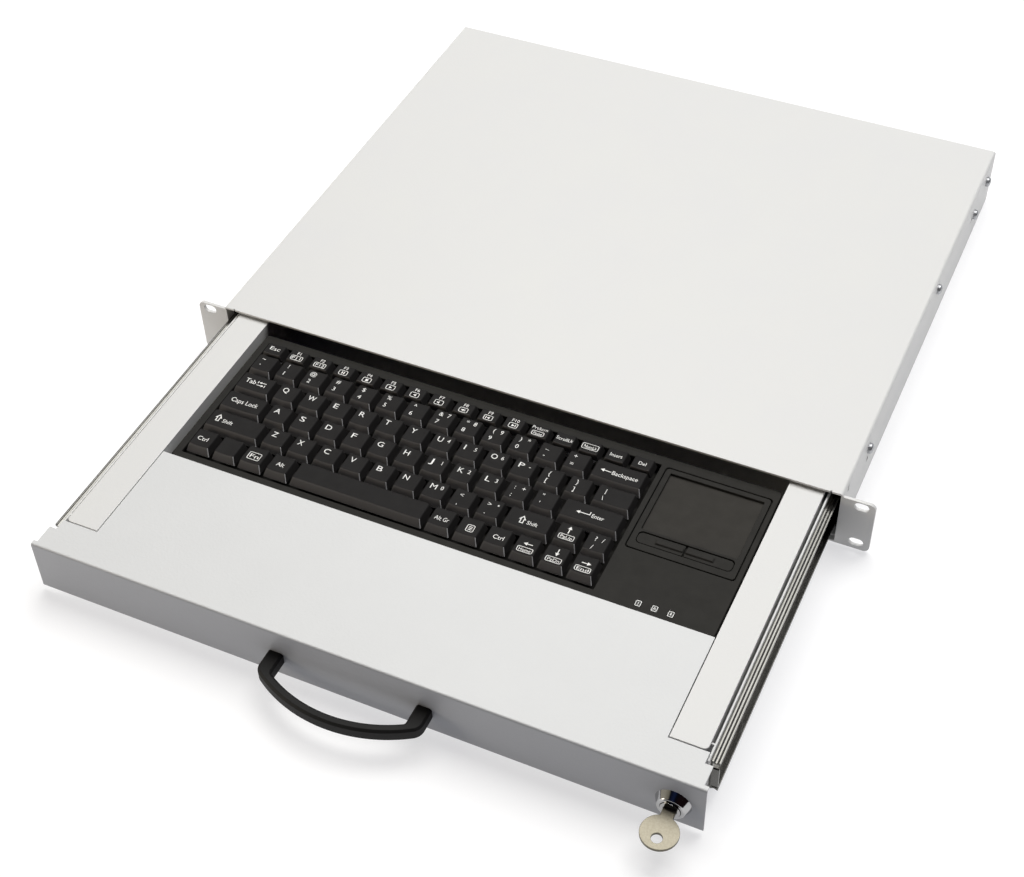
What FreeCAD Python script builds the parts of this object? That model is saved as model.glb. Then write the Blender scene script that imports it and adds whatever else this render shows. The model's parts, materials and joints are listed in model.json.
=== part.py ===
import FreeCAD, Part
import os
import re

# One-unit-high rack drawer with a keyboard: a sheet steel housing with rack ears, two ball slides,
# and a drawer that carries a palm rest, a compact keyboard with a touchpad, a bow handle and a lock.
# X points right, Y points back, Z points up. The origin is the middle of the ears' front plane.
# The drawer is drawn pulled out to its stop.

SIZES = {
    # rack ears, to the 19-inch standard
    "ear_span": 482.6,
    "ear_sheet": 2.2,
    "ear_trim": 0.2,
    "ear_top_drop": 1.8,
    "ear_corner_radius": 4.0,
    "ear_width": 20.8,
    "slot_inset": 8.75,
    "slot_spacing_up": 31.75,
    "slot_width": 6.4,
    "slot_length": 9.6,
    # housing
    "housing_depth": 380.0,
    "housing_height": 44.0,
    "shell_sheet": 1.5,
    "shell_bend_radius": 2.0,
    "bottom_lip": 16.0,
    "relief_inset": 8.0,
    "relief_width": 1.2,
    "relief_depth": 0.9,
    "base_sheet": 1.2,
    "base_setback": 4.0,
    "sheet_clearance": 0.2,
    "rear_sheet": 1.2,
    "rear_flange": 26.0,
    "cable_notch_width": 44.0,
    "cable_notch_height": 18.0,
    # screws through the side walls and the base
    "side_screw_head_radius": 3.6,
    "side_screw_head_height": 2.8,
    "side_screw_radius": 2.0,
    "screw_clearance": 0.15,
    "rail_screw_front": 51.0,
    "rail_screw_middle": 126.0,
    "rail_screw_rear": 19.0,
    "rail_screw_front_up": 7.7,
    "rail_screw_middle_up": 12.2,
    "rail_screw_rear_up": 0.2,
    "spare_hole_radius": 2.2,
    "spare_hole_drop": 9.5,
    "spare_hole_ahead": 7.5,
    "wall_slot_inset": 12.0,
    "wall_slot_up": 16.5,
    "wall_slot_width": 2.4,
    "wall_slot_height": 6.5,
    "rear_screw_inset": 18.0,
    "rear_screw_height": 7.0,
    "flat_screw_head_radius": 3.0,
    "flat_screw_radius": 1.6,
    "flat_screw_length": 5.0,
    "base_screw_inset": 30.0,
    # ball slides
    "rail_sheet": 1.2,
    "rail_flange": 2.0,
    "cabinet_rail_inset": 8.0,
    "rail_rear_gap": 6.0,
    "cabinet_flange_gap": 1.0,
    "drawer_rail_setback": 23.2,
    "drawer_rail_width": 5.5,
    "drawer_rail_height": 26.0,
    "end_tab_height": 16.0,
    "end_tab_drop": 1.8,
    "ball_radius": 1.6,
    "ball_proud": 0.8,
    "groove_clearance": 0.1,
    "cage_sheet": 0.4,
    "cage_clearance": 0.2,
    "cage_end_gap": 7.0,
    "cage_strip_half": 2.0,
    "ball_end_gap": 10.0,
    "track_inset": 3.1,
    "rail_screw_head_radius": 3.2,
    "rail_screw_head_height": 1.2,
    # drawer sheet metal
    "drawer_out": 231.2,
    "tray_rear_gap": 27.0,
    "tray_sheet": 1.2,
    "top_gap": 3.3,
    "panel_clearance": 1.4,
    "panel_ground_gap": 2.5,
    "panel_bend_radius": 1.5,
    "panel_return": 3.7,
    "front_step_in": 2.6,
    "front_step_depth": 16.7,
    "palm_depth": 99.2,
    "pan_ground_gap": 7.8,
    "pan_wall_drop": 2.0,
    "pan_wall_setback": 20.0,
    "pan_lock_gap": 2.2,
    "pan_rear_height": 13.0,
    "cover_setback": 25.2,
    "cover_width": 22.3,
    "cover_gap": 1.7,
    "cover_front_gap": 0.8,
    "cover_side_gap": 0.5,
    "cover_outer_flange": 9.0,
    "cover_corner_radius": 3.0,
    "cover_foot": 12.0,
    "cover_screw_across": 7.2,
    "cover_screw_inset": 40.0,
    # bow handle
    "handle_span": 107.0,
    "handle_leg": 10.0,
    "handle_reach": 32.0,
    "handle_bar": 6.0,
    "handle_bar_height": 9.2,
    "handle_radius": 92.0,
    "handle_centre_up": 15.8,
    "handle_screw_depth": 8.0,
    "handle_knee_radius": 8.0,
    "handle_inner_knee_radius": 2.0,
    # cam lock
    "lock_inset": 18.2,
    "lock_centre_up": 16.9,
    "lock_flange_lip": 1.5,
    "lock_flange_height": 5.0,
    "lock_face_radius": 8.1,
    "lock_barrel_radius": 9.2,
    "lock_barrel_length": 24.0,
    "lock_nut_wall": 3.3,
    "lock_nut_height": 4.0,
    "plug_radius": 6.0,
    "plug_proud": 0.6,
    "plug_clearance": 0.3,
    "cam_sheet": 2.0,
    "cam_width": 11.0,
    "cam_ground_gap": 0.9,
    "cam_screw_head_radius": 3.8,
    "cam_screw_head_height": 2.2,
    "key_blade_width": 7.6,
    "key_blade_thickness": 2.0,
    "key_blade_in_lock": 16.0,
    "keyway_clearance": 0.2,
    "key_bow_radius": 11.0,
    "key_bow_ahead": 20.8,
    "key_hole_radius": 3.2,
    "key_hole_ahead": 4.0,
    "strike_width": 11.0,
    "strike_foot": 11.0,
    "strike_play": 3.5,
    "strike_top_gap": 1.0,
    # keyboard case
    "keyboard_clearance": 2.3,
    "keyboard_front_gap": 3.5,
    "case_wall": 4.0,
    "bezel_wall": 2.0,
    "bezel_sheet": 2.5,
    "bezel_drop": 5.5,
    "case_floor": 2.0,
    "board_thickness": 1.6,
    "mat_thickness": 1.0,
    "guide_sheet": 1.5,
    "part_clearance": 0.3,
    "well_margin": 1.0,
    "case_corner_radius": 2.5,
    "foot_radius": 8.0,
    "foot_inset": 22.0,
    "margin_left": 6.1,
    "margin_front": 6.5,
    "margin_rear": 8.4,
    "margin_middle": 4.7,
    "margin_right": 3.3,
    # keys
    "row_pitch": 19.2,
    "function_row_depth": 12.7,
    "key_gap": 1.8,
    "key_rise": 5.0,
    "key_height": 5.6,
    "key_side_taper": 1.7,
    "key_front_taper": 2.7,
    "key_rear_taper": 0.7,
    "function_front_taper": 0.2,
    "key_travel": 3.0,
    "key_spare": 4.8,
    "stem_width": 5.0,
    "stem_clearance": 0.3,
    "stem_below_guide": 3.4,
    "stem_in_cap": 2.0,
    # touchpad
    "touchpad_width": 70.4,
    "touchpad_depth": 71.6,
    "touchpad_rear_margin": 7.7,
    "touchpad_corner_radius": 2.2,
    "touchpad_edge": 4.0,
    "pad_bar_gap": 2.0,
    "pad_drop": 1.7,
    "pad_board_thickness": 1.6,
    "button_depth": 9.8,
    "button_front_edge": 5.4,
    "button_travel": 0.8,
    "button_corner_radius": 3.0,
    "indicator_width": 3.6,
    "indicator_depth": 4.6,
    "indicator_pitch": 10.2,
    "indicator_front_edge": 6.2,
    "indicator_right_edge": 35.7,
}

UNITS_ACROSS = 15
FUNCTION_KEYS = 16
# Each row lists its keys from the left as (node, width in key units). Rows run from front to back.
KEY_ROWS = [
    [("keys_bottom_left", 1)] * 4
    + [("key_space", 5)]
    + [("keys_bottom_right", 1)] * 3
    + [("key_left", 1), ("key_down", 1), ("key_right", 1)],
    [("key_shift_left", 2.25)]
    + [("keys_lower_row", 1)] * 9
    + [("key_shift_right", 1.75), ("key_up", 1), ("key_slash", 1)],
    [("key_caps_lock", 1.75)] + [("keys_home_row", 1)] * 11 + [("key_enter", 2.25)],
    [("key_tab", 1.5)] + [("keys_upper_row", 1)] * 12 + [("keys_upper_row", 1.5)],
    [("keys_number_row", 1)] * 13 + [("key_backspace", 2)],
    [("keys_function_row", UNITS_ACROSS / FUNCTION_KEYS)] * FUNCTION_KEYS,
]
FULL_ROWS = len(KEY_ROWS) - 1
BALLS_PER_ROW = 6
PAST = 5.0  # how far a cutting solid runs past the face that it opens
NEAR = 0.01  # how closely an edge has to lie where it is looked for

doc = FreeCAD.newDocument("rack_keyboard_drawer")
sheet = doc.addObject("Spreadsheet::Sheet", "sizes")
for line, (name, value) in enumerate(SIZES.items(), start=1):
    sheet.set(f"A{line}", name)
    sheet.set(f"B{line}", str(value))
    sheet.setAlias(f"B{line}", name)
doc.recompute()

ALIAS = re.compile(r"[a-z_]+")


def bind(item, prop, text):
    """Ties a property to sizes of the sheet, given as a formula of their names."""
    named = ALIAS.sub(lambda word: "sizes." + word[0] if word[0] in SIZES else word[0], text)
    item.setExpression(prop, named)


def place(item, at):
    for axis, text in zip("xyz", at):
        bind(item, "Placement.Base." + axis, text)


def middle(centre, width):
    """The low and high ends of a span of a width about a centre."""
    return (f"({centre}) - ({width}) / 2", f"({centre}) + ({width}) / 2")


def box(name, x, y, z):
    """A block between the low and high formulas of each axis."""
    item = doc.addObject("Part::Box", name)
    for prop, span in zip(("Length", "Width", "Height"), (x, y, z)):
        bind(item, prop, f"({span[1]}) - ({span[0]})")
    place(item, (x[0], y[0], z[0]))
    return item


UPRIGHT = FreeCAD.Rotation(FreeCAD.Vector(1, 0, 0), 90)
TURNS = {
    "x": FreeCAD.Rotation(FreeCAD.Vector(0, 1, 0), 90),
    "y": FreeCAD.Rotation(FreeCAD.Vector(1, 0, 0), -90),
    "z": FreeCAD.Rotation(),
}


def turned(kind, name, axis, span, centre):
    """A round solid along an axis, between two formulas, about a centre given on the other two axes."""
    item = doc.addObject(kind, name)
    item.Placement = FreeCAD.Placement(FreeCAD.Vector(), TURNS[axis])
    bind(item, "Height", f"({span[1]}) - ({span[0]})")
    at = list(centre)
    at.insert("xyz".index(axis), span[0])
    place(item, at)
    return item


def rod(name, axis, radius, span, centre):
    item = turned("Part::Cylinder", name, axis, span, centre)
    bind(item, "Radius", radius)
    return item


def cone(name, axis, radii, span, centre):
    item = turned("Part::Cone", name, axis, span, centre)
    for prop, radius in zip(("Radius1", "Radius2"), radii):
        bind(item, prop, radius)
    return item


def fuse(name, items):
    item = doc.addObject("Part::MultiFuse", name)
    item.Shapes = items
    item.Refine = True
    return item


def group(name, items):
    item = doc.addObject("Part::Compound", name)
    item.Links = items
    return item


def cut(name, base, tools):
    item = doc.addObject("Part::Cut", name)
    item.Base = base
    item.Tool = tools[0] if len(tools) == 1 else group(name + "_cuts", tools)
    item.Refine = True
    return item


def common(name, first, second):
    item = doc.addObject("Part::Common", name)
    item.Base = first
    item.Tool = second
    return item


def mirrored(name, source):
    """The left-hand twin of a right-hand piece."""
    item = doc.addObject("Part::Mirroring", name)
    item.Source = source
    item.Normal = FreeCAD.Vector(1, 0, 0)
    return item


def rounded(name, base, radius, wanted):
    """Rounds the edges of a solid whose middle and direction pass the test."""
    doc.recompute()
    picked = []
    for number, edge in enumerate(base.Shape.Edges, start=1):
        ends = edge.Vertexes
        if len(ends) == 2:
            way = ends[1].Point - ends[0].Point
            if wanted((ends[0].Point + ends[1].Point) / 2, way):
                picked.append((number, SIZES[radius], SIZES[radius]))
    item = doc.addObject("Part::Fillet", name)
    item.Base = base
    item.Edges = picked
    return item


def along(way, axis):
    """Whether an edge runs along an axis."""
    return abs(abs(getattr(way, axis)) - way.Length) < NEAR


# Levels and planes that several pieces share, as formulas
HALF_HEIGHT = "housing_height / 2"
WALL_OUT = "(ear_span / 2 - ear_width)"
WALL_IN = f"({WALL_OUT} - shell_sheet)"
ROOF = "(housing_height / 2 - shell_sheet)"
LIP_TOP = "(shell_sheet - housing_height / 2)"
BASE_TOP = f"({LIP_TOP} + base_sheet)"
EAR_HALF = "(housing_height / 2 - ear_trim)"
RAIL_TIP = f"({WALL_IN} - rail_sheet - cage_sheet - 2 * cage_clearance)"
PAN_OUT = f"({RAIL_TIP} - drawer_rail_width)"
PAN_IN = f"({PAN_OUT} - tray_sheet)"
PANEL_HALF = f"({WALL_IN} - panel_clearance)"
TRACK = f"({PAN_OUT} + track_inset)"
BALL_UP = "(drawer_rail_height / 2 + ball_proud)"
FACE = "(-drawer_out)"
PANEL_BACK = f"({FACE} + tray_sheet)"
TRAY_TOP = "(housing_height / 2 - top_gap)"
TRAY_UNDER = f"({TRAY_TOP} - tray_sheet)"
PANEL_BOTTOM = "(panel_ground_gap - housing_height / 2)"
PAN_BOTTOM = "(pan_ground_gap - housing_height / 2)"
PAN_FLOOR = f"({PAN_BOTTOM} + tray_sheet)"
LOCK_DEPTH = "(lock_barrel_length + plug_proud + cam_sheet + cam_screw_head_height)"
PAN_FRONT = f"({FACE} + {LOCK_DEPTH} + pan_lock_gap)"
PAN_BACK = f"({FACE} + housing_depth - tray_rear_gap)"
PALM_BACK = f"({FACE} + palm_depth)"
COVER_OUT = f"({PAN_IN} - cover_gap)"
COVER_IN = f"({COVER_OUT} - cover_width)"
KEYBOARD_HALF = f"({COVER_IN} - keyboard_clearance)"
COVER_FRONT = f"({FACE} + cover_setback)"


def both(x):
    """The span from an X on the left to the same X on the right."""
    return (f"-{x}", x)


def flat_screw(name, x, y, low, grip):
    """A countersunk screw driven upwards, its head flush with the face at low, and its hole."""
    shank = (low, f"{low} + flat_screw_length")
    seat = (low, f"{low} + {grip}")
    screw = fuse(
        name,
        [
            cone(name + "_head", "z", ("flat_screw_head_radius", "flat_screw_radius"), seat, (x, y)),
            rod(name + "_shank", "z", "flat_screw_radius", shank, (x, y)),
        ],
    )
    wide = "flat_screw_head_radius + screw_clearance"
    narrow = "flat_screw_radius + screw_clearance"
    sink = cone(name + "_sink", "z", (wide, narrow), seat, (x, y))
    bore = rod(name + "_bore", "z", narrow, shank, (x, y))
    return screw, fuse(name + "_hole", [sink, bore])


def side_screw(name, y, z, side):
    """A pan-head screw through a side wall, and the hole that it needs."""
    head_end = f"{WALL_OUT} + side_screw_head_height"
    shank_end = f"{WALL_IN} - rail_sheet"
    head = rod(name + "_head", "x", "side_screw_head_radius", (WALL_OUT, head_end), (y, z))
    shank = rod(name + "_shank", "x", "side_screw_radius", (shank_end, WALL_OUT), (y, z))
    hole_span = (f"{shank_end} - {PAST}", f"{WALL_OUT} + {PAST}")
    hole = rod(name + "_hole", "x", "side_screw_radius + screw_clearance", hole_span, (y, z))
    screw = fuse(name, [head, shank])
    if side == "left":
        return mirrored(name + "_left", screw), mirrored(name + "_left_hole", hole)
    return screw, hole


def make_housing():
    """Folded shell with ears, base, rear panel, fixed rails and the screws that hold them together."""
    rail_front = "cabinet_rail_inset"
    rail_y = (rail_front, "housing_depth - rear_flange - rail_rear_gap")
    heights = ("rail_screw_front_up", "rail_screw_middle_up", "rail_screw_rear_up")
    screw_places = list(zip(rail_screw_places(rail_y), heights))
    screw_places.append(("housing_depth - rear_screw_inset", "rear_screw_height"))
    side_screws = []
    side_holes = []
    for side in ("right", "left"):
        for number, (y, z) in enumerate(screw_places, start=1):
            screw, hole = side_screw(f"side_screw_{side}_{number}", y, z, side)
            side_screws.append(screw)
            side_holes.append(hole)

    base_screws = []
    base_holes = []
    base_rear = "housing_depth - base_screw_inset"
    for side in ("-", ""):
        x = f"{side}({WALL_IN} - bottom_lip / 2)"
        for number, y in enumerate(("base_screw_inset", "housing_depth / 2", base_rear)):
            label = f"base_screw_{'left' if side else 'right'}_{number}"
            screw, hole = flat_screw(label, x, y, f"(-{HALF_HEIGHT})", "shell_sheet")
            base_screws.append(screw)
            base_holes.append(hole)

    depth = ("0", "housing_depth")
    block = box("shell_block", both(WALL_OUT), depth, both(HALF_HEIGHT))
    past = (f"-{PAST}", f"housing_depth + {PAST}")
    inside = box("shell_inside", both(WALL_IN), past, (LIP_TOP, ROOF))
    mouth = box("shell_mouth", both(f"({WALL_IN} - bottom_lip)"), past, (f"-{HALF_HEIGHT} - {PAST}", "0"))
    hull = cut("shell_hull", block, [inside, mouth])
    outside = SIZES["ear_span"] / 2 - SIZES["ear_width"]
    bent = rounded(
        "shell_bent",
        hull,
        "shell_bend_radius",
        lambda at, way: along(way, "y") and abs(at.x) > outside - NEAR and at.z > 0,
    )
    ears = []
    for side, low, high in (("right", WALL_IN, "ear_span / 2"), ("left", "-ear_span / 2", f"-{WALL_IN}")):
        ear_z = (f"-{EAR_HALF}", f"{EAR_HALF} - ear_top_drop")
        blank = box(f"ear_blank_{side}", (low, high), ("0", "ear_sheet"), ear_z)
        ears.append(
            rounded(
                f"ear_{side}",
                blank,
                "ear_corner_radius",
                lambda at, way: along(way, "y") and abs(at.x) > SIZES["ear_span"] / 2 - NEAR,
            )
        )
    through = (f"-{PAST}", f"ear_sheet + {PAST}")
    slots = []
    for x in ("(ear_span / 2 - slot_inset)", "(slot_inset - ear_span / 2)"):
        for z in ("slot_spacing_up / 2", "-slot_spacing_up / 2"):
            run = "(slot_length - slot_width)"
            name = f"slot_{len(slots)}"
            left, right = middle(x, run)
            middle_part = box(name + "_run", (left, right), through, middle(z, "slot_width"))
            ends = []
            for end in (left, right):
                ends.append(rod(f"{name}_end_{len(ends)}", "y", "slot_width / 2", through, (end, z)))
            slots.append(fuse(name, [middle_part] + ends))
    reliefs = []
    for side in ("-", ""):
        span = middle(f"{side}({WALL_OUT} - relief_inset)", "relief_width")
        relief_y = (f"-{PAST}", "relief_depth")
        reliefs.append(box(f"relief_{len(reliefs)}", span, relief_y, ("0", f"{HALF_HEIGHT} + {PAST}")))
    spare_holes = []
    wall = both(f"({WALL_OUT} + {PAST})")
    front_screw, _, rear_screw = rail_screw_places(rail_y)
    for at in (
        (front_screw, "rail_screw_front_up - spare_hole_drop"),
        (f"{rear_screw} - spare_hole_ahead", "rail_screw_rear_up"),
    ):
        spare_holes.append(rod(f"spare_hole_{len(spare_holes)}", "x", "spare_hole_radius", wall, at))
    slot_y = middle("wall_slot_inset", "wall_slot_width")
    spare_holes.append(box("wall_slot", wall, slot_y, middle("wall_slot_up", "wall_slot_height")))
    folded = fuse("shell_folded", [bent] + ears)
    shell = cut("housing_shell", folded, slots + reliefs + side_holes + base_holes + spare_holes)

    base_blank = box(
        "base_blank",
        both(f"({WALL_IN} - sheet_clearance)"),
        ("base_setback", "housing_depth"),
        (LIP_TOP, BASE_TOP),
    )
    base = cut("base_plate", base_blank, base_holes)

    rear_out = f"({WALL_IN} - sheet_clearance)"
    rear_up = (BASE_TOP, f"{ROOF} - sheet_clearance")
    rear_y = ("housing_depth - rear_sheet", "housing_depth")
    flange_y = ("housing_depth - rear_flange", "housing_depth")
    rear_sheets = [
        box("rear_plate", both(rear_out), rear_y, rear_up),
        box("rear_flange_right", (f"{rear_out} - rear_sheet", rear_out), flange_y, rear_up),
        box("rear_flange_left", (f"-{rear_out}", f"rear_sheet - {rear_out}"), flange_y, rear_up),
    ]
    notch = box(
        "cable_notch",
        middle("0", "cable_notch_width"),
        (f"housing_depth - rear_sheet - {PAST}", f"housing_depth + {PAST}"),
        (f"{BASE_TOP} - {PAST}", f"{BASE_TOP} + cable_notch_height"),
    )
    rear = cut("rear_panel", fuse("rear_folded", rear_sheets), [notch] + side_holes)

    rail_top = f"({BALL_UP} + ball_proud + rail_flange)"
    flange_x = (f"{PAN_OUT} + cabinet_flange_gap", WALL_IN)
    sheets = [
        box("cabinet_web", (f"{WALL_IN} - rail_sheet", WALL_IN), rail_y, both(rail_top)),
        box("cabinet_top", flange_x, rail_y, (f"{BALL_UP} + ball_proud", rail_top)),
        box("cabinet_bottom", flange_x, rail_y, (f"-{rail_top}", f"-{BALL_UP} - ball_proud")),
    ]
    grooves = ball_grooves("cabinet", rail_y)
    right_holes = side_holes[: len(screw_places)]
    rail = cut("cabinet_rail_right", fuse("cabinet_folded", sheets), grooves + right_holes)

    strike_x = middle(f"({PANEL_HALF} - lock_inset)", "strike_width")
    cam_front = "(lock_barrel_length + plug_proud)"
    upright_back = f"({cam_front} - strike_play)"
    strike = fuse(
        "lock_strike",
        [
            box(
                "strike_upright",
                strike_x,
                (f"{upright_back} - tray_sheet", upright_back),
                (BASE_TOP, f"{PAN_BOTTOM} - strike_top_gap"),
            ),
            box(
                "strike_foot",
                strike_x,
                (f"{upright_back} - strike_foot", upright_back),
                (BASE_TOP, f"{BASE_TOP} + tray_sheet"),
            ),
        ],
    )
    return [
        shell,
        base,
        rear,
        rail,
        mirrored("cabinet_rail_left", rail),
        strike,
        group("side_screws", side_screws),
        group("base_screws", base_screws),
    ]


def ball_grooves(name, y):
    """The two round tracks that a row of balls runs in, above and below."""
    span = (f"{y[0]} - {PAST}", f"{y[1]} + {PAST}")
    radius = "ball_radius + groove_clearance"
    return [
        rod(name + "_groove_top", "y", radius, span, (TRACK, BALL_UP)),
        rod(name + "_groove_bottom", "y", radius, span, (TRACK, f"-{BALL_UP}")),
    ]


def rail_screw_places(y):
    """Where the three screws of a rail sit between its ends."""
    return [f"{y[0]} + rail_screw_front", f"{y[1]} - rail_screw_middle", f"{y[1]} - rail_screw_rear"]


def make_slides():
    """Drawer rails with their screws, and the ball cages with their balls, for both sides."""
    front = f"({FACE} + drawer_rail_setback)"
    rail_y = (front, PAN_BACK)
    top = "(drawer_rail_height / 2)"
    web_in = f"({PAN_OUT} + rail_sheet)"
    sheets = [
        box("drawer_web", (PAN_OUT, web_in), rail_y, both(top)),
        box("drawer_top", (PAN_OUT, RAIL_TIP), rail_y, (f"{top} - rail_flange", top)),
        box("drawer_bottom", (PAN_OUT, RAIL_TIP), rail_y, (f"-{top}", f"rail_flange - {top}")),
        box(
            "drawer_end_tab",
            (PAN_OUT, f"{RAIL_TIP} - cage_clearance"),
            (front, f"{front} + rail_sheet"),
            middle("-end_tab_drop", "end_tab_height"),
        ),
    ]
    screws = []
    holes = []
    for number, y in enumerate(rail_screw_places(rail_y)):
        name = f"drawer_rail_screw_{number}"
        head = (web_in, f"{web_in} + rail_screw_head_height")
        shank = (f"{PAN_IN} - tray_sheet", web_in)
        screw = fuse(
            name,
            [
                rod(name + "_head", "x", "rail_screw_head_radius", head, (y, "0")),
                rod(name + "_shank", "x", "flat_screw_radius", shank, (y, "0")),
            ],
        )
        screws += [screw, mirrored(name + "_left", screw)]
        span = (f"{shank[0]} - {PAST}", f"{web_in} + tray_sheet")
        hole = rod(name + "_hole", "x", "flat_screw_radius + screw_clearance", span, (y, "0"))
        holes.append(hole)
    grooves = ball_grooves("drawer", rail_y)
    rail = cut("drawer_rail_right", fuse("drawer_folded", sheets), grooves + holes)

    # The cage fills the stretch where the two rails overlap with the drawer out.
    cage_y = ("(cabinet_rail_inset + cage_end_gap)", f"({rail_y[1]} - cage_end_gap)")
    first_ball = f"({cage_y[0]} + ball_end_gap)"
    ball_run = f"({cage_y[1]} - ball_end_gap - {first_ball})"
    web = (f"{RAIL_TIP} + cage_clearance", f"{RAIL_TIP} + cage_clearance + cage_sheet")
    strip = (f"{TRACK} - cage_strip_half", web[1])
    cage_blank = fuse(
        "cage_folded",
        [
            box("cage_web", web, cage_y, both(f"({BALL_UP} + cage_sheet / 2)")),
            box("cage_top", strip, cage_y, middle(BALL_UP, "cage_sheet")),
            box("cage_bottom", strip, cage_y, middle(f"-{BALL_UP}", "cage_sheet")),
        ],
    )
    balls = []
    seats = []
    for number in range(BALLS_PER_ROW):
        y = f"{first_ball} + {ball_run} * {number} / {BALLS_PER_ROW - 1}"
        span = (f"-{BALL_UP} - ball_radius", f"{BALL_UP} + ball_radius")
        seats.append(rod(f"ball_seat_{number}", "z", "ball_radius + groove_clearance", span, (TRACK, y)))
        for row, z in (("top", BALL_UP), ("bottom", f"-{BALL_UP}")):
            ball = doc.addObject("Part::Sphere", f"ball_{row}_{number}")
            bind(ball, "Radius", "ball_radius")
            place(ball, (TRACK, y, z))
            balls.append(ball)
    cage = cut("ball_cage_right", cage_blank, seats)
    balls_right = group("balls_right", balls)
    pieces = [
        rail,
        mirrored("drawer_rail_left", rail),
        cage,
        mirrored("ball_cage_left", cage),
        balls_right,
        mirrored("balls_left", balls_right),
        group("drawer_rail_screws", screws),
    ]
    return pieces, holes


def make_tray(rail_holes):
    """Front panel with palm rest, keyboard pan, the two side covers and the screws below them."""
    cover_screws = []
    cover_holes = []
    for side in ("-", ""):
        x = f"{side}({COVER_IN} + cover_screw_across)"
        for number, y in enumerate((f"{PAN_FRONT} + cover_screw_inset", f"{PAN_BACK} - cover_screw_inset")):
            label = f"cover_screw_{'left' if side else 'right'}_{number}"
            screw, hole = flat_screw(label, x, y, PAN_BOTTOM, "tray_sheet")
            cover_screws.append(screw)
            cover_holes.append(hole)

    wall_top = f"({TRAY_TOP} - pan_wall_drop)"
    wall_front = f"({FACE} + pan_wall_setback)"
    block = box("pan_block", both(PAN_OUT), (wall_front, PAN_BACK), (PAN_BOTTOM, wall_top))
    inside = box(
        "pan_inside",
        both(PAN_IN),
        (f"{PAN_FRONT} + tray_sheet", f"{PAN_BACK} - tray_sheet"),
        (PAN_FLOOR, f"{wall_top} + {PAST}"),
    )
    ahead = box(
        "pan_ahead",
        both(PAN_IN),
        (f"{wall_front} - {PAST}", PAN_FRONT),
        (f"{PAN_BOTTOM} - {PAST}", f"{wall_top} + {PAST}"),
    )
    above_rear = box(
        "pan_above_rear",
        both(PAN_IN),
        (f"{PAN_BACK} - tray_sheet - {PAST}", f"{PAN_BACK} + {PAST}"),
        (f"{PAN_FLOOR} + pan_rear_height", f"{wall_top} + {PAST}"),
    )
    left_rail_holes = [mirrored(f"pan_rail_hole_{number}", hole) for number, hole in enumerate(rail_holes)]
    walls = cut("pan_walls", block, [inside, ahead, above_rear])
    front_wall = box(
        "pan_front_wall",
        both(f"({COVER_OUT} - cover_gap)"),
        (PAN_FRONT, f"{PAN_FRONT} + tray_sheet"),
        (PAN_BOTTOM, TRAY_UNDER),
    )
    pan_folded = fuse("pan_folded", [walls, front_wall])
    pan = cut("keyboard_pan", pan_folded, rail_holes + left_rail_holes + cover_holes)

    top = (TRAY_UNDER, TRAY_TOP)
    between = both(f"({COVER_IN} - cover_side_gap)")
    lock_at = (f"({PANEL_HALF} - lock_inset)", f"({PANEL_BOTTOM} + lock_centre_up)")
    through = (f"{FACE} - {PAST}", f"{PANEL_BACK} + {PAST}")
    sheets = [
        box("panel_face", both(PANEL_HALF), (FACE, PANEL_BACK), (PANEL_BOTTOM, TRAY_TOP)),
        box("panel_fold", both(PANEL_HALF), (FACE, f"{FACE} + panel_return"), top),
        box("palm_wide", both(f"({PANEL_HALF} - front_step_in)"), (FACE, f"{FACE} + front_step_depth"), top),
        box("palm_step", both(PAN_IN), (FACE, f"{COVER_FRONT} - cover_front_gap"), top),
        box("palm_deep", between, (FACE, PALM_BACK), top),
        box("palm_rear", between, (f"{PALM_BACK} - tray_sheet", PALM_BACK), (PAN_FLOOR, TRAY_TOP)),
    ]
    folded = fuse("palm_folded", sheets)
    bent = rounded(
        "palm_bent",
        folded,
        "panel_bend_radius",
        lambda at, way: along(way, "x")
        and abs(at.y + SIZES["drawer_out"]) < NEAR
        and at.z > 0
        and way.Length > SIZES["ear_span"] / 2,
    )
    holes = [rod("lock_hole", "y", "lock_barrel_radius + part_clearance", through, lock_at)]
    for number, x in enumerate(HANDLE_LEGS):
        hole_name = f"handle_hole_{number}"
        holes.append(rod(hole_name, "y", "side_screw_radius + screw_clearance", through, (x, HANDLE_UP)))
    palm = cut("palm_rest", bent, holes)

    cover_y = (COVER_FRONT, PAN_BACK)
    front_edge = SIZES["cover_setback"] - SIZES["drawer_out"] + NEAR
    cover_blank = box("cover_blank", (COVER_IN, COVER_OUT), cover_y, top)
    cover_top = rounded(
        "cover_top",
        cover_blank,
        "cover_corner_radius",
        lambda at, way: along(way, "z") and at.y < front_edge and at.x > cover_blank.Shape.CenterOfMass.x,
    )
    cover_sheets = [
        cover_top,
        box(
            "cover_inner",
            (COVER_IN, f"{COVER_IN} + tray_sheet"),
            (f"{PAN_FRONT} + tray_sheet + cover_side_gap", f"{PAN_BACK} - tray_sheet - cover_side_gap"),
            (PAN_FLOOR, TRAY_TOP),
        ),
        box(
            "cover_outer",
            (f"{COVER_OUT} - tray_sheet", COVER_OUT),
            (f"{PAN_FRONT} + tray_sheet + cover_side_gap", PAN_BACK),
            (f"{TRAY_TOP} - cover_outer_flange", TRAY_TOP),
        ),
        box(
            "cover_foot",
            (COVER_IN, f"{COVER_IN} + cover_foot"),
            (f"{PAN_FRONT} + tray_sheet + cover_side_gap", f"{PAN_BACK} - tray_sheet - cover_side_gap"),
            (PAN_FLOOR, f"{PAN_FLOOR} + tray_sheet"),
        ),
    ]
    right_cover_holes = cover_holes[len(cover_holes) // 2 :]
    cover = cut("side_cover_right", fuse("cover_folded", cover_sheets), right_cover_holes)
    return [
        palm,
        pan,
        cover,
        mirrored("side_cover_left", cover),
        group("side_cover_screws", cover_screws),
    ]


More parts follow.
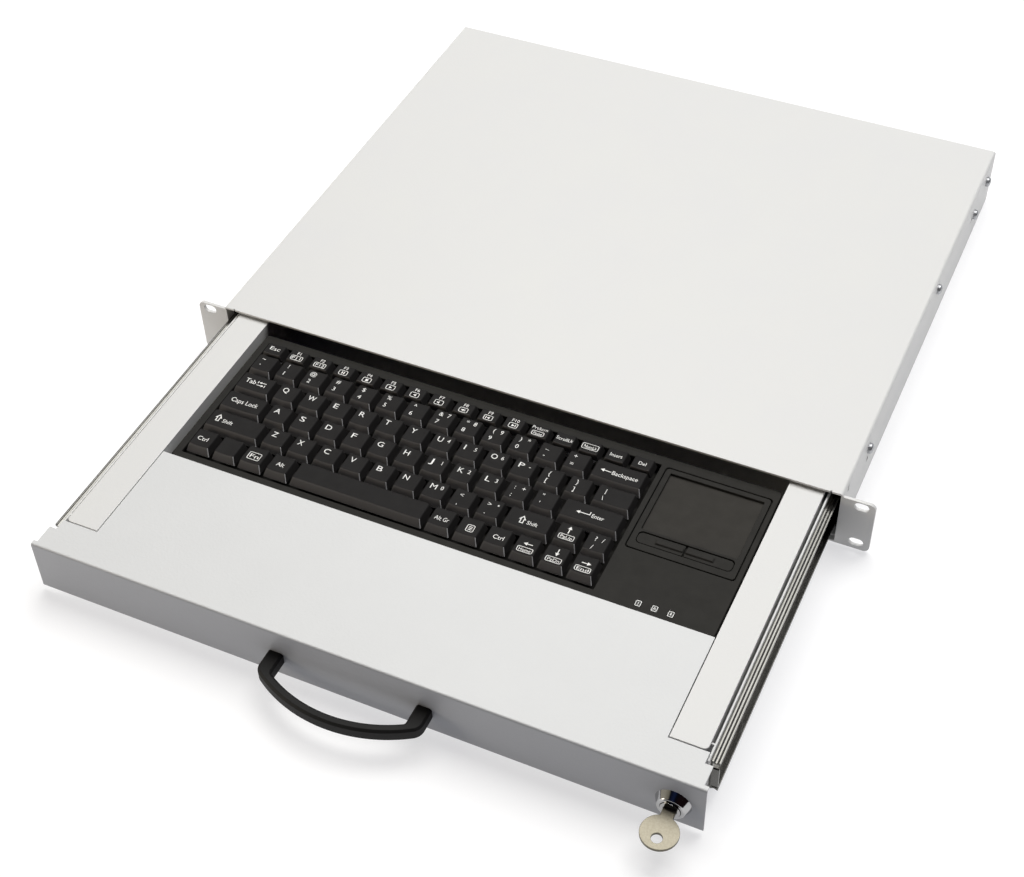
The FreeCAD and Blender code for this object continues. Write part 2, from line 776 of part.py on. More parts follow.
HANDLE_UP = f"({PANEL_BOTTOM} + handle_centre_up)"
HANDLE_LEGS = ("(handle_leg - handle_span) / 2", "(handle_span - handle_leg) / 2")


def make_handle():
    """A flat bar bent to a bow, and the two screws that hold its legs from behind the panel."""
    reach = f"({FACE} - handle_reach)"
    centre = ("0", f"({reach} + handle_radius)")
    up = middle(HANDLE_UP, "handle_bar_height")
    half = "(handle_span / 2)"
    inner_half = f"({half} - handle_leg)"
    inner_radius = "(handle_radius - handle_bar)"
    knee = f"({centre[1]} - sqrt(handle_radius * handle_radius - {half} * {half}))"
    inner_knee = f"({centre[1]} - sqrt({inner_radius} * {inner_radius} - {inner_half} * {inner_half}))"
    disc = rod("handle_disc", "z", "handle_radius", up, centre)
    front = common("handle_front", disc, box("handle_front_limit", both(half), (reach, knee), up))
    legs = box("handle_legs", both(half), (knee, FACE), up)
    solid = fuse("handle_solid", [front, legs])
    back = -SIZES["drawer_out"] - NEAR
    outside = SIZES["handle_span"] / 2 - NEAR
    bow = rounded(
        "handle_bow",
        solid,
        "handle_knee_radius",
        lambda at, way: along(way, "z") and abs(at.x) > outside and at.y < back,
    )
    past_up = (f"{up[0]} - {PAST}", f"{up[1]} + {PAST}")
    inner_disc = rod("handle_inner_disc", "z", inner_radius, past_up, centre)
    inner_limit = box("handle_inner_limit", both(inner_half), (reach, inner_knee), past_up)
    inner_front = common("handle_inner_front", inner_disc, inner_limit)
    inner_legs = box("handle_inner_legs", both(inner_half), (inner_knee, f"{FACE} + {PAST}"), past_up)
    inner = fuse("handle_inner", [inner_front, inner_legs])
    gap = rounded(
        "handle_gap",
        inner,
        "handle_inner_knee_radius",
        lambda at, way: along(way, "z") and abs(at.x) > NEAR and at.y < back,
    )
    tools = [gap]
    screws = []
    for number, x in enumerate(HANDLE_LEGS):
        name = f"handle_screw_{number}"
        tip = f"({FACE} - handle_screw_depth)"
        head = (PANEL_BACK, f"{PANEL_BACK} + side_screw_head_height")
        screws.append(
            fuse(
                name,
                [
                    rod(name + "_head", "y", "side_screw_head_radius", head, (x, HANDLE_UP)),
                    rod(name + "_shank", "y", "side_screw_radius", (tip, PANEL_BACK), (x, HANDLE_UP)),
                ],
            )
        )
        span = (f"{tip} - part_clearance", f"{FACE} + {PAST}")
        tools.append(rod(name + "_bore", "y", "side_screw_radius + screw_clearance", span, (x, HANDLE_UP)))
    return [cut("bow_handle", bow, tools), group("handle_screws", screws)]


def make_lock():
    """Cam lock: the fixed barrel and its nut, then the plug, cam, cam screw and key that turn together."""
    at = (f"({PANEL_HALF} - lock_inset)", f"({PANEL_BOTTOM} + lock_centre_up)")
    front = f"({FACE} - lock_flange_height)"
    barrel_end = f"({FACE} + lock_barrel_length)"
    plug_end = f"({barrel_end} + plug_proud)"
    plug_front = f"({front} - plug_proud)"
    cam_end = f"({plug_end} + cam_sheet)"
    flange_radii = ("lock_face_radius", "lock_barrel_radius + lock_flange_lip")
    body_solid = fuse(
        "lock_solid",
        [
            cone("lock_flange", "y", flange_radii, (front, FACE), at),
            rod("lock_barrel", "y", "lock_barrel_radius", (FACE, barrel_end), at),
        ],
    )
    bore_span = (f"{front} - {PAST}", f"{barrel_end} + {PAST}")
    bore = rod("lock_bore", "y", "plug_radius + plug_clearance", bore_span, at)
    body = cut("lock_body", body_solid, [bore])

    nut = doc.addObject("Part::Prism", "lock_nut_blank")
    nut.Polygon = 6
    nut.Placement = FreeCAD.Placement(FreeCAD.Vector(), TURNS["y"])
    bind(nut, "Circumradius", "lock_barrel_radius + lock_nut_wall")
    bind(nut, "Height", "lock_nut_height")
    place(nut, (at[0], PANEL_BACK, at[1]))
    nut_span = (FACE, f"{PANEL_BACK} + lock_nut_height + {PAST}")
    nut_bore = rod("lock_nut_bore", "y", "lock_barrel_radius + screw_clearance", nut_span, at)

    blade_x = middle(at[0], "key_blade_width")
    blade_z = middle(at[1], "key_blade_thickness")
    blade_end = f"({front} + key_blade_in_lock)"
    keyway = box(
        "keyway",
        middle(at[0], "(key_blade_width + 2 * keyway_clearance)"),
        (f"{plug_front} - {PAST}", f"{blade_end} + keyway_clearance"),
        middle(at[1], "(key_blade_thickness + 2 * keyway_clearance)"),
    )
    screw_tip = f"({plug_end} - lock_nut_height)"
    tapped_span = (screw_tip, f"{cam_end} + {PAST}")
    tapped = rod("plug_tapped", "y", "side_screw_radius + screw_clearance", tapped_span, at)
    plug = cut("lock_plug", rod("plug_rod", "y", "plug_radius", (plug_front, plug_end), at), [keyway, tapped])

    cam_tip = f"({at[0]} - ({at[1]} - {BASE_TOP} - cam_ground_gap))"
    cam_plate = box(
        "cam_plate",
        (cam_tip, f"{at[0]} + cam_width / 2"),
        (plug_end, cam_end),
        middle(at[1], "cam_width"),
    )
    cam = cut("lock_cam", cam_plate, [tapped])
    head_span = (cam_end, f"{cam_end} + cam_screw_head_height")
    cam_screw = fuse(
        "cam_screw",
        [
            rod("cam_screw_head", "y", "cam_screw_head_radius", head_span, at),
            rod("cam_screw_shank", "y", "side_screw_radius", (f"{screw_tip} + part_clearance", cam_end), at),
        ],
    )

    bow_y = f"({FACE} - key_bow_ahead)"
    key_solid = fuse(
        "key_solid",
        [
            box("key_blade", blade_x, (bow_y, blade_end), blade_z),
            rod("key_bow", "z", "key_bow_radius", blade_z, (at[0], bow_y)),
        ],
    )
    ring = (f"{blade_z[0]} - {PAST}", f"{blade_z[1]} + {PAST}")
    key_hole = rod("key_hole", "z", "key_hole_radius", ring, (at[0], f"{bow_y} - key_hole_ahead"))
    key = cut("lock_key", key_solid, [key_hole])
    return [body, cut("lock_nut", nut, [nut_bore]), plug, cam, cam_screw, key]


# Levels of the keyboard, from the bezel down to the pan
BEZEL_TOP = f"({TRAY_TOP} - bezel_drop)"
BEZEL_UNDER = f"({BEZEL_TOP} - bezel_sheet)"
KEY_TOP = f"({BEZEL_TOP} + key_rise)"
KEY_BOTTOM = f"({KEY_TOP} - key_height)"
GUIDE_TOP = f"({KEY_BOTTOM} - key_travel - key_spare)"
GUIDE_UNDER = f"({GUIDE_TOP} - guide_sheet)"
STEM_END = f"({GUIDE_UNDER} - stem_below_guide)"
MAT_TOP = f"({STEM_END} - key_travel - part_clearance)"
BOARD_TOP = f"({MAT_TOP} - mat_thickness)"
CASE_FLOOR = f"({BOARD_TOP} - board_thickness)"
CASE_BOTTOM = f"({CASE_FLOOR} - case_floor)"
KEYBOARD_FRONT = f"({PALM_BACK} + keyboard_front_gap)"
KEYS_LEFT = f"(margin_left - {KEYBOARD_HALF})"
KEYS_FRONT = f"({KEYBOARD_FRONT} + margin_front)"
KEYS_BACK = f"({KEYS_FRONT} + {FULL_ROWS} * row_pitch + function_row_depth)"
KEYBOARD_BACK = f"({KEYS_BACK} + margin_rear)"
PAD_RIGHT = f"({KEYBOARD_HALF} - margin_right)"
PAD_LEFT = f"({PAD_RIGHT} - touchpad_width)"
KEYS_RIGHT = f"({PAD_LEFT} - margin_middle)"
KEY_PITCH = f"(({KEYS_RIGHT} - {KEYS_LEFT}) / {UNITS_ACROSS})"
PAD_BACK = f"({KEYBOARD_BACK} - touchpad_rear_margin)"
PAD_FRONT = f"({PAD_BACK} - touchpad_depth)"


def make_keys():
    """Every keycap with its stem, gathered by node, and the holes that their stems need."""
    nodes = {}
    stem_holes = []
    for row, keys in enumerate(KEY_ROWS):
        depth, front_taper = "row_pitch", "key_front_taper"
        if row == FULL_ROWS:
            depth, front_taper = "function_row_depth", "function_front_taper"
        before = 0.0
        for column, (node, units) in enumerate(keys):
            name = f"cap_{row}_{column}"
            wide = f"({units:g} * {KEY_PITCH} - key_gap)"
            deep = f"({depth} - key_gap)"
            left = f"({KEYS_LEFT} + {before:g} * {KEY_PITCH} + key_gap / 2)"
            back = f"({KEYS_FRONT} + {row} * row_pitch + {depth} - key_gap / 2)"
            cap = doc.addObject("Part::Wedge", name)
            cap.Placement = FreeCAD.Placement(FreeCAD.Vector(), UPRIGHT)
            shape = {
                "Xmin": "0",
                "Xmax": wide,
                "Zmin": "0",
                "Zmax": deep,
                "Ymin": "0",
                "Ymax": "key_height",
                "X2min": "key_side_taper",
                "X2max": f"{wide} - key_side_taper",
                "Z2min": "key_rear_taper",
                "Z2max": f"{deep} - {front_taper}",
            }
            for prop, text in shape.items():
                bind(cap, prop, text)
            place(cap, (left, back, KEY_BOTTOM))
            x = f"({left} + {wide} / 2)"
            y = f"({back} - {deep} / 2)"
            stem = box(
                name + "_stem",
                middle(x, "stem_width"),
                middle(y, "stem_width"),
                (STEM_END, f"{KEY_BOTTOM} + stem_in_cap"),
            )
            nodes.setdefault(node, []).append(fuse(name + "_key", [cap, stem]))
            hole = "(stem_width + 2 * stem_clearance)"
            span = (f"{GUIDE_UNDER} - {PAST}", f"{GUIDE_TOP} + {PAST}")
            stem_holes.append(box(name + "_hole", middle(x, hole), middle(y, hole), span))
            before += units
    return [group(node, keys) for node, keys in nodes.items()], stem_holes


def make_keyboard(stem_holes):
    """Case halves, boards, guide plate, touchpad with two buttons, and indicator windows."""
    y = (KEYBOARD_FRONT, KEYBOARD_BACK)
    inner_x = both(f"({KEYBOARD_HALF} - bezel_wall - part_clearance)")
    inner_y = (f"{y[0]} + bezel_wall + part_clearance", f"{y[1]} - bezel_wall - part_clearance")
    floor_x = both(f"({KEYBOARD_HALF} - case_wall - part_clearance)")
    floor_y = (f"{y[0]} + case_wall + part_clearance", f"{y[1]} - case_wall - part_clearance")

    case_block = case_blank("case_block", y, (CASE_BOTTOM, GUIDE_UNDER))
    case_hollow = box(
        "case_hollow",
        both(f"({KEYBOARD_HALF} - case_wall)"),
        (f"{y[0]} + case_wall", f"{y[1]} - case_wall"),
        (CASE_FLOOR, f"{GUIDE_UNDER} + {PAST}"),
    )
    lower_case = cut("keyboard_lower_case", case_block, [case_hollow])
    board = box("circuit_board", floor_x, floor_y, (CASE_FLOOR, BOARD_TOP))
    mat = box("dome_mat", floor_x, floor_y, (BOARD_TOP, MAT_TOP))
    guide_blank = box("guide_blank", inner_x, inner_y, (GUIDE_UNDER, GUIDE_TOP))
    guide = cut("key_guide_plate", guide_blank, stem_holes)

    well = box(
        "key_well",
        (f"{KEYS_LEFT} - well_margin", f"{KEYS_RIGHT} + well_margin"),
        (f"{KEYS_FRONT} - well_margin", f"{KEYS_BACK} + well_margin"),
        (f"{GUIDE_UNDER} - {PAST}", f"{BEZEL_TOP} + {PAST}"),
    )
    bezel_block = case_blank("bezel_block", y, (GUIDE_UNDER, BEZEL_TOP))
    bezel_hollow = box(
        "bezel_hollow",
        both(f"({KEYBOARD_HALF} - bezel_wall)"),
        (f"{y[0]} + bezel_wall", f"{y[1]} - bezel_wall"),
        (f"{GUIDE_UNDER} - {PAST}", BEZEL_UNDER),
    )
    pad_opening = touchpad_block("pad_opening", "0", (f"{BEZEL_UNDER} - {PAST}", f"{BEZEL_TOP} + {PAST}"))
    lenses = []
    windows = []
    for number in range(3):
        x = f"({PAD_RIGHT} - indicator_right_edge + ({number - 1:d}) * indicator_pitch)"
        lens_y = f"({KEYBOARD_FRONT} + indicator_front_edge)"
        span = (BEZEL_UNDER, BEZEL_TOP)
        lenses.append(
            box(f"lens_{number}", middle(x, "indicator_width"), middle(lens_y, "indicator_depth"), span)
        )
        windows.append(
            box(
                f"lens_window_{number}",
                middle(x, "indicator_width"),
                middle(lens_y, "indicator_depth"),
                (f"{span[0]} - {PAST}", f"{span[1]} + {PAST}"),
            )
        )
    upper_case = cut("keyboard_upper_case", bezel_block, [bezel_hollow, well, pad_opening] + windows)

    frame_block = touchpad_block("pad_frame_block", "part_clearance", (BEZEL_UNDER, BEZEL_TOP))
    pad_x = (f"{PAD_LEFT} + touchpad_edge", f"{PAD_RIGHT} - touchpad_edge")
    cut_z = (f"{BEZEL_UNDER} - {PAST}", f"{BEZEL_TOP} + {PAST}")
    bar_front = f"({PAD_FRONT} + button_front_edge)"
    bar_y = (bar_front, f"{bar_front} + button_depth")
    pad_y = (f"{bar_y[1]} + pad_bar_gap", f"{PAD_BACK} - touchpad_edge")
    button_blank = box("button_window_blank", pad_x, bar_y, cut_z)
    button_window = rounded(
        "button_window", button_blank, "button_corner_radius", lambda at, way: along(way, "z")
    )
    pad_window = box("pad_window", pad_x, pad_y, cut_z)
    frame = cut("touchpad_frame", frame_block, [pad_window, button_window])
    gap = "part_clearance"
    plate = box(
        "touchpad_plate",
        (f"{pad_x[0]} + {gap}", f"{pad_x[1]} - {gap}"),
        (f"{pad_y[0]} + {gap}", f"{pad_y[1]} - {gap}"),
        (BEZEL_UNDER, f"{BEZEL_TOP} - pad_drop"),
    )
    pad_board = box(
        "touchpad_board",
        (f"{PAD_LEFT} - {gap}", f"{PAD_RIGHT} + {gap}"),
        (f"{PAD_FRONT} - {gap}", f"{PAD_BACK} + {gap}"),
        (f"{BEZEL_UNDER} - pad_board_thickness", BEZEL_UNDER),
    )
    split = f"(({pad_x[0]} + {pad_x[1]}) / 2)"
    button_y = (f"{bar_y[0]} + {gap}", f"{bar_y[1]} - {gap}")
    button_z = (f"{BEZEL_UNDER} + button_travel + {gap}", BEZEL_TOP)
    button_spans = {
        "left": (f"{pad_x[0]} + {gap}", f"{split} - {gap} / 2"),
        "right": (f"{split} + {gap} / 2", f"{pad_x[1]} - {gap}"),
    }
    buttons = []
    for side, span in button_spans.items():
        blank = box(f"button_blank_{side}", span, button_y, button_z)
        outward = -1 if side == "left" else 1
        doc.recompute()
        centre = blank.Shape.CenterOfMass.x
        buttons.append(
            rounded(
                f"pad_button_{side}",
                blank,
                "button_corner_radius",
                lambda at, way: along(way, "z") and (at.x - centre) * outward > 0,
            )
        )
    feet = []
    for x in (f"(foot_inset - {KEYBOARD_HALF})", f"({KEYBOARD_HALF} - foot_inset)"):
        for foot_y in (f"{y[0]} + foot_inset", f"{y[1]} - foot_inset"):
            name = f"foot_{len(feet)}"
            feet.append(rod(name, "z", "foot_radius", (PAN_FLOOR, CASE_BOTTOM), (x, foot_y)))
    return [
        lower_case,
        board,
        mat,
        guide,
        upper_case,
        frame,
        plate,
        pad_board,
        *buttons,
        group("indicator_lenses", lenses),
        group("keyboard_feet", feet),
    ]


def case_blank(name, y, z):
    """A block of the keyboard's outline with rounded corners."""
    blank = box(name + "_blank", both(KEYBOARD_HALF), y, z)
    return rounded(name, blank, "case_corner_radius", lambda at, way: along(way, "z"))


def touchpad_block(name, inset, z):
    """The touchpad's outline with rounded corners, drawn in by an inset on every side."""
    x = (f"{PAD_LEFT} + {inset}", f"{PAD_RIGHT} - {inset}")
    y = (f"{PAD_FRONT} + {inset}", f"{PAD_BACK} - {inset}")
    blank = box(name + "_blank", x, y, z)
    return rounded(name, blank, "touchpad_corner_radius", lambda at, way: along(way, "z"))


slides, drawer_rail_holes = make_slides()
key_nodes, key_stem_holes = make_keys()
subparts = [
    *make_housing(),
    *slides,
    *make_tray(drawer_rail_holes),
    *make_handle(),
    *make_lock(),
    *make_keyboard(key_stem_holes),
    *key_nodes,
]
doc.recompute()

for item in doc.Objects:
    if "Invalid" in item.State or "Error" in item.State:
        raise RuntimeError(f"{item.Label} could not be built: {item.State}")
for piece in subparts:
    if piece.Shape.isNull() or not piece.Shape.isValid():
        raise RuntimeError(f"{piece.Label} has no valid shape")

os.makedirs("parts", exist_ok=True)
for piece in subparts:
    piece.Shape.exportStep(f"parts/{piece.Label}.step")
    print(f"{piece.Label}: {len(piece.Shape.Solids)} solids, {piece.Shape.Volume / 1000:.2f} cm3")
print(len(subparts), "nodes")
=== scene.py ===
# %% [markdown]
# A rack drawer with a keyboard, pulled out to its stop. The CAD model gives every size and place. This
# lesson dresses it: it rounds the edges of the sheet metal, models the keycaps and their print, the
# touchpad, the handle, the lock and the screws, and gives each surface the finish of its real material.

# %% Load the CAD frame
import json
import math

import bmesh
import bpy
from mathutils import Matrix, Vector


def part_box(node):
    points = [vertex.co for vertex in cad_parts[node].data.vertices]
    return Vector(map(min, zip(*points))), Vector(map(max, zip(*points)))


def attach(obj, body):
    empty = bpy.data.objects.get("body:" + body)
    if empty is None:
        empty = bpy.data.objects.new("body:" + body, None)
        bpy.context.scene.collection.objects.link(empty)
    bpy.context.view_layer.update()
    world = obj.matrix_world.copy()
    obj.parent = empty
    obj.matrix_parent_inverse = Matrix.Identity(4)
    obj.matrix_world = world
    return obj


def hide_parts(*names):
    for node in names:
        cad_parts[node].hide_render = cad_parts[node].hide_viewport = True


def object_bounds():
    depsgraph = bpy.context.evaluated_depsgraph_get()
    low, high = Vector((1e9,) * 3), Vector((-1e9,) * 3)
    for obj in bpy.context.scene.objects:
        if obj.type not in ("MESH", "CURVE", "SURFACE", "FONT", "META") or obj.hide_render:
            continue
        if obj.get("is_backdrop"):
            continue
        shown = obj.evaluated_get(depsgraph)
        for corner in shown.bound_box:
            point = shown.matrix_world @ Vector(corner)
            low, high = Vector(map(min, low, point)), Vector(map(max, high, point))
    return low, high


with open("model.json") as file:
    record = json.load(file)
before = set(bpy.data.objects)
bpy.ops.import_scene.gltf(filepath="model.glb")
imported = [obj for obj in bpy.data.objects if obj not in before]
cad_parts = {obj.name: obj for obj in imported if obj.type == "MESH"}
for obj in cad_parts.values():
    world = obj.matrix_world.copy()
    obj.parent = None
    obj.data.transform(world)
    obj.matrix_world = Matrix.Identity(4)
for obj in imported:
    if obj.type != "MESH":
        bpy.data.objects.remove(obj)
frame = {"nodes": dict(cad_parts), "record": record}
cad_low, cad_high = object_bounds()
scene = bpy.context.scene
nodes = frame["nodes"]
body_of = {}
for body, members in frame["record"]["behaviour"]["bodies"].items():
    for member in members:
        body_of[member] = body
MM = 0.001
NEAR = 0.01 * MM  # places closer to each other than this count as the same
print("CAD box in mm:", [round(size / MM, 1) for size in cad_high - cad_low], "nodes:", len(nodes))

# %% [markdown]
# An operator acts on whatever is selected, so each step starts by choosing one object, and in edit mode by
# choosing faces, edges or points by where they lie. These helpers do that choosing, as a click or a box
# selection does by hand.


# %% Helpers that select
def only(*pieces):
    """Makes these objects the selected ones, and the first of them the active one."""
    bpy.ops.object.select_all(action="DESELECT")
    for piece in pieces:
        piece.select_set(True)
    bpy.context.view_layer.objects.active = pieces[0]


def edit(piece):
    """Goes into edit mode on one object."""
    only(piece)
    bpy.ops.object.mode_set(mode="EDIT")


def pick(kind, test):
    """In edit mode, selects only the verts, edges or faces that pass the test."""
    bpy.ops.mesh.select_mode(type={"verts": "VERT", "edges": "EDGE", "faces": "FACE"}[kind])
    bpy.ops.mesh.select_all(action="DESELECT")
    shape = bmesh.from_edit_mesh(bpy.context.edit_object.data)
    chosen = [item for item in getattr(shape, kind) if test(item)]
    for item in chosen:
        item.select_set(True)
    bmesh.update_edit_mesh(bpy.context.edit_object.data)


def done():
    """Leaves edit mode and puts the object's place into its mesh."""
    if bpy.context.mode != "OBJECT":
        bpy.ops.object.mode_set(mode="OBJECT")
    bpy.ops.object.transform_apply(location=True, rotation=True, scale=True)
    return bpy.context.view_layer.objects.active


def block(low, high):
    """A cube stretched between two corners, as a start for modelling."""
    bpy.ops.object.select_all(action="DESELECT")
    bpy.ops.mesh.primitive_cube_add(size=1, location=(Vector(low) + Vector(high)) / 2)
    bpy.context.object.scale = Vector(high) - Vector(low)
    return done()


# %% [markdown]
# The camera stands in front of the drawer, to its right and above it, and looks down at about 45 degrees.
# It could be aimed by eye, but then long edges would run off by some pixels. So its place, its lens and the
# directions that it calls right and up were worked out from the object's corners, whose distances are known
# because the width of a rack is standard.

# %% Camera
SENSOR_WIDTH, LENS = 36.0, 62.0
STANDPOINT = Vector((0.35744, -0.74107, 0.81827))
RIGHT = Vector((0.90828, 0.41778, -0.02185))
UP = Vector((-0.28399, 0.65409, 0.70109))
camera = bpy.data.objects.new("camera", bpy.data.cameras.new("camera"))
scene.collection.objects.link(camera)
camera.data.sensor_width = SENSOR_WIDTH
camera.data.lens = LENS
turn = Matrix((RIGHT, UP, RIGHT.cross(UP))).transposed().to_4x4()
camera.matrix_world = Matrix.Translation(STANDPOINT) @ turn
scene.camera = camera
scene.view_settings.view_transform = "Standard"
print("camera", [round(value, 3) for value in camera.location], "lens", camera.data.lens)


# %% [markdown]
# Colours are written as the hex values that a paint chart gives, which are sRGB. Shaders count in linear
# light, so one function converts them. A second small function adds a shader node, sets it and links it. If
# the node is a colour ramp, it also gets its stops, which are positions with a colour each.

# %% Colour and node helpers
NOISE_LOW, NOISE_HIGH = 0.3, 0.7  # noise seldom leaves this range, so ramps spread their colours over it


def linear(colour):
    """An sRGB hex colour as linear red, green, blue and alpha."""
    parts = [int(colour[place : place + 2], 16) / 255 for place in (1, 3, 5)]
    light = [part / 12.92 if part <= 0.04045 else ((part + 0.055) / 1.055) ** 2.4 for part in parts]
    return (*light, 1.0)


def add(tree, kind, values=None, links=None, stops=None, **settings):
    """Adds a node with its settings, its socket values, its links, and the stops of a colour ramp."""
    node = tree.nodes.new("ShaderNode" + kind)
    for name, value in settings.items():
        setattr(node, name, value)
    for socket, value in (values or {}).items():
        node.inputs[socket].default_value = value
    for socket, source in (links or {}).items():
        tree.links.new(source, node.inputs[socket])
    if stops:
        points = node.color_ramp.elements
        for point, (position, colour) in zip((points[0], points[-1]), (stops[0], stops[-1])):
            point.position = position
            point.color = linear(colour)
        for position, colour in stops[1:-1]:
            points.new(position).color = linear(colour)
    return node


def blank_material(name):
    """A new material with its node tree, its surface shader and its object coordinates."""
    material = bpy.data.materials.new(name)
    material.use_nodes = True
    tree = material.node_tree
    tree.nodes.clear()
    shader = add(tree, "BsdfPrincipled")
    add(tree, "OutputMaterial", links={"Surface": shader.outputs["BSDF"]})
    return material, tree, shader, add(tree, "TexCoord").outputs["Object"]


# %% [markdown]
# The stage is a plain light table: a white sheet that also glows a little from below, so that it stays white
# and shadows on it stay pale. A floor that only reflects would need far more light to look as white, and
# that light would wash out the object. It lies just under the object.

# %% Floor
FLOOR_SIZE = 12.0
FLOOR_DROP = 1.0 * MM
bpy.ops.object.select_all(action="DESELECT")
bpy.ops.mesh.primitive_plane_add(size=FLOOR_SIZE, location=(0, 0, cad_low.z - FLOOR_DROP))
floor = bpy.context.object
floor.name = "floor"
floor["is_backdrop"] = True
table_white, tree, shader, place = blank_material("white table")
mottle = add(tree, "TexNoise", {"Scale": 3.0, "Detail": 2.0}, {"Vector": place})
stops = [(NOISE_LOW, "#aeaeae"), (NOISE_HIGH, "#b2b2b2")]
white = add(tree, "ValToRGB", links={"Fac": mottle.outputs["Fac"]}, stops=stops)
tree.links.new(white.outputs["Color"], shader.inputs["Base Color"])
shader.inputs["Roughness"].default_value = 0.9
shader.inputs["Specular IOR Level"].default_value = 0.1
shader.inputs["Emission Color"].default_value = linear("#fdfdff")
shader.inputs["Emission Strength"].default_value = 0.6
floor.data.materials.append(table_white)
print("floor at z in mm:", round(floor.location.z / MM, 1))

# %% [markdown]
# A wide soft box lights the top. It hangs behind the object, so upright faces get only what the table sends
# up, as on the real object, whose front is much darker than its top. A small warm lamp at the left front
# makes the front a little brighter there. Each lamp is listed with its place, what it points at, its width
# and height in metres, its watts and its colour.

# %% Lamps
LIGHTS = {
    "soft box": ((0.05, 0.95, 2.2), (0.0, 0.1, 0.0), (2.5, 1.8), 80.0, "#fffefb"),
    "left front": ((-0.9, -0.8, 0.3), (-0.3, -0.23, 0.0), (0.4, 0.4), 4.2, "#fff3e0"),
}
for name, (at, towards, size, watts, colour) in LIGHTS.items():
    lamp = bpy.data.lights.new(name, "AREA")
    lamp.shape = "RECTANGLE"
    lamp.size, lamp.size_y = size
    lamp.energy = watts
    lamp.color = linear(colour)[:3]
    holder = bpy.data.objects.new(name, lamp)
    scene.collection.objects.link(holder)
    holder.location = at
    holder.rotation_euler = (Vector(towards) - Vector(at)).to_track_quat("-Z", "Y").to_euler()
print("lamps:", sorted(LIGHTS))

# %% [markdown]
# A glossy face that mirrors no lamp mirrors the room. The room in front is dark, with a pale wall at the
# left that the chrome of the lock shows, and behind the object it is an even grey. A picture of a room
# would need a file, so one ramp from left to right gives the front, and it fades into the grey towards the
# back.

# %% Room
world = bpy.data.worlds.new("studio")
scene.world = world
world.use_nodes = True
backdrop = world.node_tree.nodes["Background"]
sky = add(world.node_tree, "TexCoord")
axes = add(world.node_tree, "SeparateXYZ", links={"Vector": sky.outputs["Generated"]})
across = add(world.node_tree, "MapRange", {"From Min": -1.0}, {"Value": axes.outputs["X"]})
stops = [
    (0.05, "#b9b3a3"), (0.22, "#8d8878"), (0.3, "#11141f"), (0.5, "#1c2646"), (0.62, "#0d0f18"),
    (0.8, "#1c1214"),
]
front = add(world.node_tree, "ValToRGB", links={"Fac": across.outputs["Result"]}, stops=stops)
behind = add(world.node_tree, "MapRange", {"From Max": 0.6}, {"Value": axes.outputs["Y"]})
room = add(
    world.node_tree, "Mix", {"B": linear("#9a9ea4")},
    {"Factor": behind.outputs["Result"], "A": front.outputs["Color"]}, data_type="RGBA",
)
world.node_tree.links.new(room.outputs["Result"], backdrop.inputs["Color"])
backdrop.inputs["Strength"].default_value = 1.0
print("room made of", len(stops), "tones at the front")

# %% [markdown]
# Powder coat is sprayed as dry powder and baked, which leaves a fine orange-peel skin. It is seen as small
# soft sparkles on the front, and as a very even satin grey elsewhere. The front of the drawer has a coarser
# skin, and a mask on the direction of the surface mixes painted shade into its colour: faces that look to
# the front are painted a darker, cooler grey. The skin is only a hundredth of a millimetre deep, too shallow
# to model, so it is a bump. The bump is set deeper than that, because otherwise it wouldn't show.

# %% Powder-coated steel
FULL_FRONT, NO_FRONT = -0.85, -0.3  # between these y values of a normal the front's colour fades out
PAINT_CLOUD = 40 * MM
BUMP_STRENGTH = 0.5


def painted_front_tone(tree, colour, front):
    """Mixes another colour into a material where its surface faces the front: painted shade on the drawer's
    paint, painted light on the keycaps.
    """
    normal = add(tree, "NewGeometry").outputs["Normal"]
    facing = add(tree, "SeparateXYZ", links={"Vector": normal}).outputs["Y"]
    share = add(tree, "MapRange", {"From Min": FULL_FRONT, "From Max": NO_FRONT}, {"Value": facing})
    links = {"Factor": share.outputs["Result"], "B": colour}
    return add(tree, "Mix", {"A": linear(front)}, links, data_type="RGBA").outputs["Result"]


def powder_coat(name, light, dark, roughness, peel_mm, depth_mm, front=None):
    """Baked paint: a nearly even colour, a satin surface, the dimples of orange peel, and painted shade on
    faces that look to the front if a front colour is given.
    """
    material, tree, shader, place = blank_material(name)
    cloud = add(tree, "TexNoise", {"Scale": 1 / PAINT_CLOUD, "Detail": 3.0}, {"Vector": place})
    stops = [(NOISE_LOW, dark), (NOISE_HIGH, light)]
    colour = add(tree, "ValToRGB", links={"Fac": cloud.outputs["Fac"]}, stops=stops).outputs["Color"]
    if front:
        colour = painted_front_tone(tree, colour, front)
    tree.links.new(colour, shader.inputs["Base Color"])
    shader.inputs["Roughness"].default_value = roughness
    peel = add(tree, "TexNoise", {"Scale": 1 / (peel_mm * MM), "Detail": 1.0}, {"Vector": place})
    height = {"Height": peel.outputs["Fac"]}
    dimples = add(tree, "Bump", {"Strength": BUMP_STRENGTH, "Distance": depth_mm * MM}, height)
    tree.links.new(dimples.outputs["Normal"], shader.inputs["Normal"])
    return material


# An even, quiet grey whose satin gloss spreads the soft box over the whole cover.
paint = powder_coat("light grey powder coat", "#cccccb", "#cbcbcb", 0.42, 1.2, 0.14)
# The same grey above, and on the front a livelier skin that sparkles a little, with painted shade that makes
# faces looking to the front darker and cooler.
front_paint_with_shade = powder_coat("coarse grey powder coat with painted shade", "#c8c9ca", "#c6c7c8", 0.42, 1.6, 0.2, "#94969c")
print("materials", paint.name, front_paint_with_shade.name)

# %% [markdown]
# Slide steel is rolled and drawn lengthwise, so its fine scratches run along the slide. It is a dark,
# rather glossy metal: faces that mirror the lamp are bright and all others are dark. The screws are plated
# in bright zinc. Chrome mirrors the room, and the key is tumbled nickel brass, softer and a little warm.
# One function makes them all: stretched noise drives both the colour and the roughness, because a scratch
# changes both. The grain of the slides is finer in life. It is drawn half a millimetre wide, so that it
# shows.


